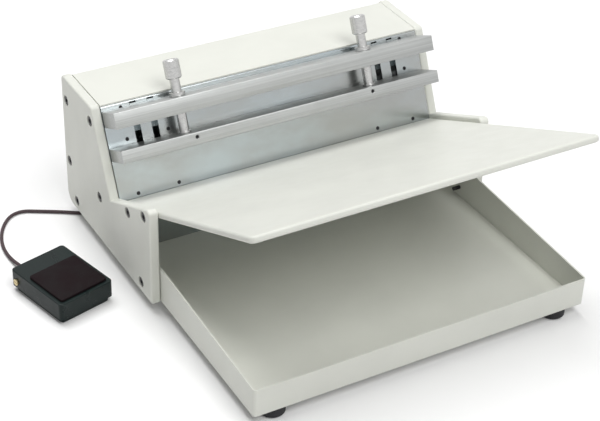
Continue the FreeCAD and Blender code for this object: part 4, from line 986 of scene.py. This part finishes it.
@dataclass
class PedalCord:
    """The thin cord from the pedal to the machine's rear wall, its spare length coiled and tied."""

    radius: float = 1.75 * MM
    length: float = 1.6
    coil_turns: float = 4.5
    coil_climb: float = 0.5
    coil_last: float = 0.25
    coil_pitch: float = 4.5 * MM
    coil_inner: float = 11.0 * MM
    coil_side: float = 92.0 * MM
    coil_behind: float = 58.0 * MM
    coil_floor: float = 2.8 * MM
    lead: float = 16.0 * MM
    points_per_turn: int = 16
    line_order: int = 3
    span_steps: int = 6
    round_steps: int = 4
    pedal_exit: Vector = Vector((-219.83, 102.476, 5.2)) * MM
    pedal_lead: Vector = Vector((-223.837, 117.966, 5.2)) * MM
    gland_lead: Vector = Vector((-34.0, 28.8, 34.0)) * MM
    gland_tip: Vector = Vector((-34.0, 16.0, 34.0)) * MM
    pedal_route: tuple = (
        (-277.3, -66.0, 3.2),
        (-278.0, -51.0, 1.9),
        (-276.5, -35.0, 1.8),
        (-271.0, -17.0, 1.8),
        (-261.0, 0.0, 1.8),
        (-249.5, 11.5, 1.8),
        (-236.0, 13.5, 1.8),
        (-223.5, 6.5, 1.8),
        (-210.0, -1.0, 1.8),
        (-197.0, -8.5, 1.8),
        (-184.0, -17.5, 1.8),
        (-170.0, -23.0, 1.8),
        (-156.0, -22.5, 1.8),
        (-143.5, -16.5, 1.8),
        (-133.5, -6.0, 1.8),
        (-127.0, 8.0, 1.8),
        (-123.8, 23.5, 2.2),
    )
    gland_route: tuple = (
        (-63.0, 85.5, 5.5),
        (-50.0, 79.0, 2.2),
        (-40.5, 69.0, 1.8),
        (-36.0, 57.0, 4.5),
        (-34.3, 47.0, 14.0),
        (-34.0, 40.0, 26.0),
    )

    @property
    def rear_edge(self) -> Vector:
        """Returns the middle of the side plates' rear edge on the floor, which the routes start from."""
        left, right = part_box("left_side_plate"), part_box("right_side_plate")
        return Vector(((left[0][0] + right[1][0]) / 2, left[1][1], 0.0))

    def coil_point(self, turn: float) -> Vector:
        """Returns the coiled cord's place.

        Args:
            turn: Clockwise turns since the coil's start.

        Returns:
            The place in the row frame.
        """
        rise = min(max((turn - self.coil_turns) / self.coil_climb, 0.0), 1.0)
        laps = max(self.coil_turns - turn, turn - self.coil_turns - self.coil_climb, 0.0)
        radius = self.coil_inner + self.coil_pitch * laps
        angle = math.pi - 2.0 * math.pi * turn
        centre = self.rear_edge + Vector((-self.coil_side, self.coil_behind, self.coil_floor))
        return centre + Vector((radius * math.cos(angle), radius * math.sin(angle), self.coil_pitch * rise))

    def route(self) -> list[Vector]:
        """Lays the cord out from the pedal to the rear wall.

        Returns:
            The control points of its line.
        """
        last = self.coil_turns * 2 + self.coil_last
        steps = round(last * self.points_per_turn)
        coil = [self.coil_point(last * step / steps) for step in range(steps + 1)]
        lead_in = coil[0] - (coil[1] - coil[0]).normalized() * self.lead
        lead_in.x = coil[0].x
        lead_out = coil[-1] + Vector((self.lead, 0.0, 0.0))
        placed = [[self.rear_edge + Vector(point) * MM for point in route]
                  for route in (self.pedal_route, self.gland_route)]
        return [self.pedal_exit, self.pedal_lead, *placed[0], lead_in, *coil, lead_out, *placed[1],
                self.rear_edge + self.gland_lead, self.rear_edge + self.gland_tip]

    def build(self) -> None:
        """Draws the cord as one smooth spline with a round bevel."""
        points = self.route()
        data = bpy.data.curves.new("pedal_cord_line", "CURVE")
        data.dimensions = "3D"
        data.resolution_u = self.span_steps
        data.bevel_depth = self.radius
        data.bevel_resolution = self.round_steps
        data.use_fill_caps = True
        spline = data.splines.new("NURBS")
        spline.points.add(len(points) - 1)
        for knot, point in zip(spline.points, points):
            knot.co = (*point, 1.0)
        spline.order_u = self.line_order
        spline.use_endpoint_u = True
        piece = bpy.data.objects.new("pedal_cord_line", data)
        bpy.context.collection.objects.link(piece)
        data.materials.append(material_for("cord_sheath"))
        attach(piece, "housing")
        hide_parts("pedal_cord", "cord_coil", "gland_cord")
        log.info("cord of %d points", len(points))


@dataclass
class Softbox:
    """A square studio lamp aimed at the machine."""

    name: str
    at: tuple
    size: float
    power: float
    aim: tuple = (0.0, 0.0, 80.0 * MM)

    def build(self) -> None:
        """Adds the lamp."""
        data = bpy.data.lights.new(self.name, "AREA")
        data.shape = "SQUARE"
        data.size = self.size
        data.energy = self.power
        lamp = bpy.data.objects.new(self.name, data)
        bpy.context.collection.objects.link(lamp)
        lamp.location = self.at
        towards = Vector(self.aim) - Vector(self.at)
        lamp.rotation_euler = towards.to_track_quat("-Z", "Y").to_euler()


@dataclass
class Studio:
    """The pale floor, the white surroundings, the lamps and the camera."""

    floor_half: float = 6.0
    floor_colour: tuple = (0.88, 0.88, 0.88)
    floor_lift: float = 0.05
    floor_drop: float = 0.2 * MM
    floor_cloud: float = 3.0
    floor_tints: tuple = (0.995, 1.0)
    floor_roughness: float = 0.9
    floor_gloss: float = 0.1
    surround: float = 0.24
    azimuth: float = math.radians(30.45)
    elevation: float = math.radians(33.95)
    roll: float = math.radians(1.97)
    eye: Vector = Vector((-681.97, -1314.72, 937.3)) * MM
    lens: float = 95.64
    sensor: float = 36.0
    sight: float = 50.0
    lamps: tuple = (
        Softbox("rear_softbox", (-0.3, 1.4, 4.8), 3.0, 170.0),
        Softbox("front_softbox", (0.5, -3.1, 4.6), 3.2, 157.0),
    )

    @staticmethod
    def where_seen(tree: bpy.types.NodeTree, unseen: float, seen: float) -> bpy.types.NodeSocket:
        """Returns a strength that differs where the background is looked at, straight or by a mirror.

        Args:
            tree: The node tree of the floor or the world.
            unseen: Strength as a light.
            seen: Strength to the eye.

        Returns:
            The strength's socket.
        """
        rays = tree.nodes.new("ShaderNodeLightPath")
        looked_at = rays.outputs["Is Camera Ray"]
        for kind in ("Is Glossy Ray", "Is Transmission Ray"):
            either = tree.nodes.new("ShaderNodeMath")
            either.operation = "MAXIMUM"
            tree.links.new(looked_at, either.inputs[0])
            tree.links.new(rays.outputs[kind], either.inputs[1])
            looked_at = either.outputs["Value"]
        strength = tree.nodes.new("ShaderNodeMapRange")
        strength.inputs["To Min"].default_value = unseen
        strength.inputs["To Max"].default_value = seen
        tree.links.new(looked_at, strength.inputs["Value"])
        return strength.outputs["Result"]

    def floor(self) -> None:
        """Lays the floor, which shows white to the camera and keeps the shadow."""
        alone()
        bpy.ops.mesh.primitive_plane_add(size=self.floor_half * 2, location=(0.0, 0.0, -self.floor_drop))
        plane = bpy.context.object
        plane.name = "studio_floor"
        sheet = ShaderSheet("studio_floor_paint")
        sheet.tint(sheet.noise(self.floor_cloud), self.floor_colour, self.floor_tints)
        sheet.set(Roughness=self.floor_roughness, Specular_IOR_Level=self.floor_gloss)
        sheet.shader.inputs["Emission Color"].default_value = WHITE
        sheet.wire(self.where_seen(sheet.tree, 0.0, self.floor_lift), "Emission Strength")
        plane.data.materials.append(sheet.material)

    def surroundings(self) -> None:
        """Makes the world white where it is seen, and softer as a light."""
        world = bpy.data.worlds.new("studio_white")
        world.use_nodes = True
        bpy.context.scene.world = world
        tree = world.node_tree
        ground = tree.nodes["Background"]
        ground.inputs["Color"].default_value = WHITE
        tree.links.new(self.where_seen(tree, self.surround, 1.0), ground.inputs["Strength"])

    def camera(self, rear_edge: Vector) -> None:
        """Stands the camera where the photograph was taken from.

        Args:
            rear_edge: The place on the machine that the camera's place is counted from.
        """
        forward = Vector((math.sin(self.azimuth) * math.cos(self.elevation),
                          math.cos(self.azimuth) * math.cos(self.elevation), -math.sin(self.elevation)))
        level = Vector((math.cos(self.azimuth), -math.sin(self.azimuth), 0.0))
        above = level.cross(forward)
        right = level * math.cos(self.roll) + above * math.sin(self.roll)
        up = above * math.cos(self.roll) - level * math.sin(self.roll)
        data = bpy.data.cameras.new("photo_camera")
        data.sensor_fit = "HORIZONTAL"
        data.sensor_width = self.sensor
        data.lens = self.lens
        data.clip_end = self.sight
        camera = bpy.data.objects.new("photo_camera", data)
        bpy.context.collection.objects.link(camera)
        turn = Matrix((right, up, -forward)).transposed().to_4x4()
        camera.matrix_world = Matrix.Translation(rear_edge + self.eye) @ turn
        bpy.context.scene.camera = camera

    def build(self, rear_edge: Vector) -> None:
        """Sets the whole studio up.

        Args:
            rear_edge: The place on the machine that the camera's place is counted from.
        """
        bpy.context.scene.view_settings.view_transform = "Standard"
        self.camera(rear_edge)
        self.floor()
        self.surroundings()
        for lamp in self.lamps:
            lamp.build()


def main() -> None:
    """Builds the studio and the pieces."""
    logging.basicConfig(level=logging.INFO)
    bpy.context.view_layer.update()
    cord = PedalCord()
    Studio().build(cord.rear_edge)
    cord.build()
    dress_nodes()
    Jaws().build()
    Fasteners().build()
    for side in Side:
        AdjusterKnob(side).build()
    PedalPad().build()
    PedalBumper().build()
    StrainRelief("rear_strain_relief", "cord_gland", tip=cord.rear_edge + cord.gland_tip,
                 axis=Vector((0.0, 1.0, 0.0)), length=20.0 * MM, start_radius=5.5 * MM, end_radius=2.6 * MM,
                 ribs=5).build()
    StrainRelief("pedal_strain_relief", "pedal_gland", tip=cord.pedal_exit,
                 axis=(cord.pedal_lead - cord.pedal_exit).normalized(), length=9.0 * MM,
                 start_radius=3.4 * MM, end_radius=2.6 * MM, ribs=3).build()


if __name__ == "__main__":
    main()
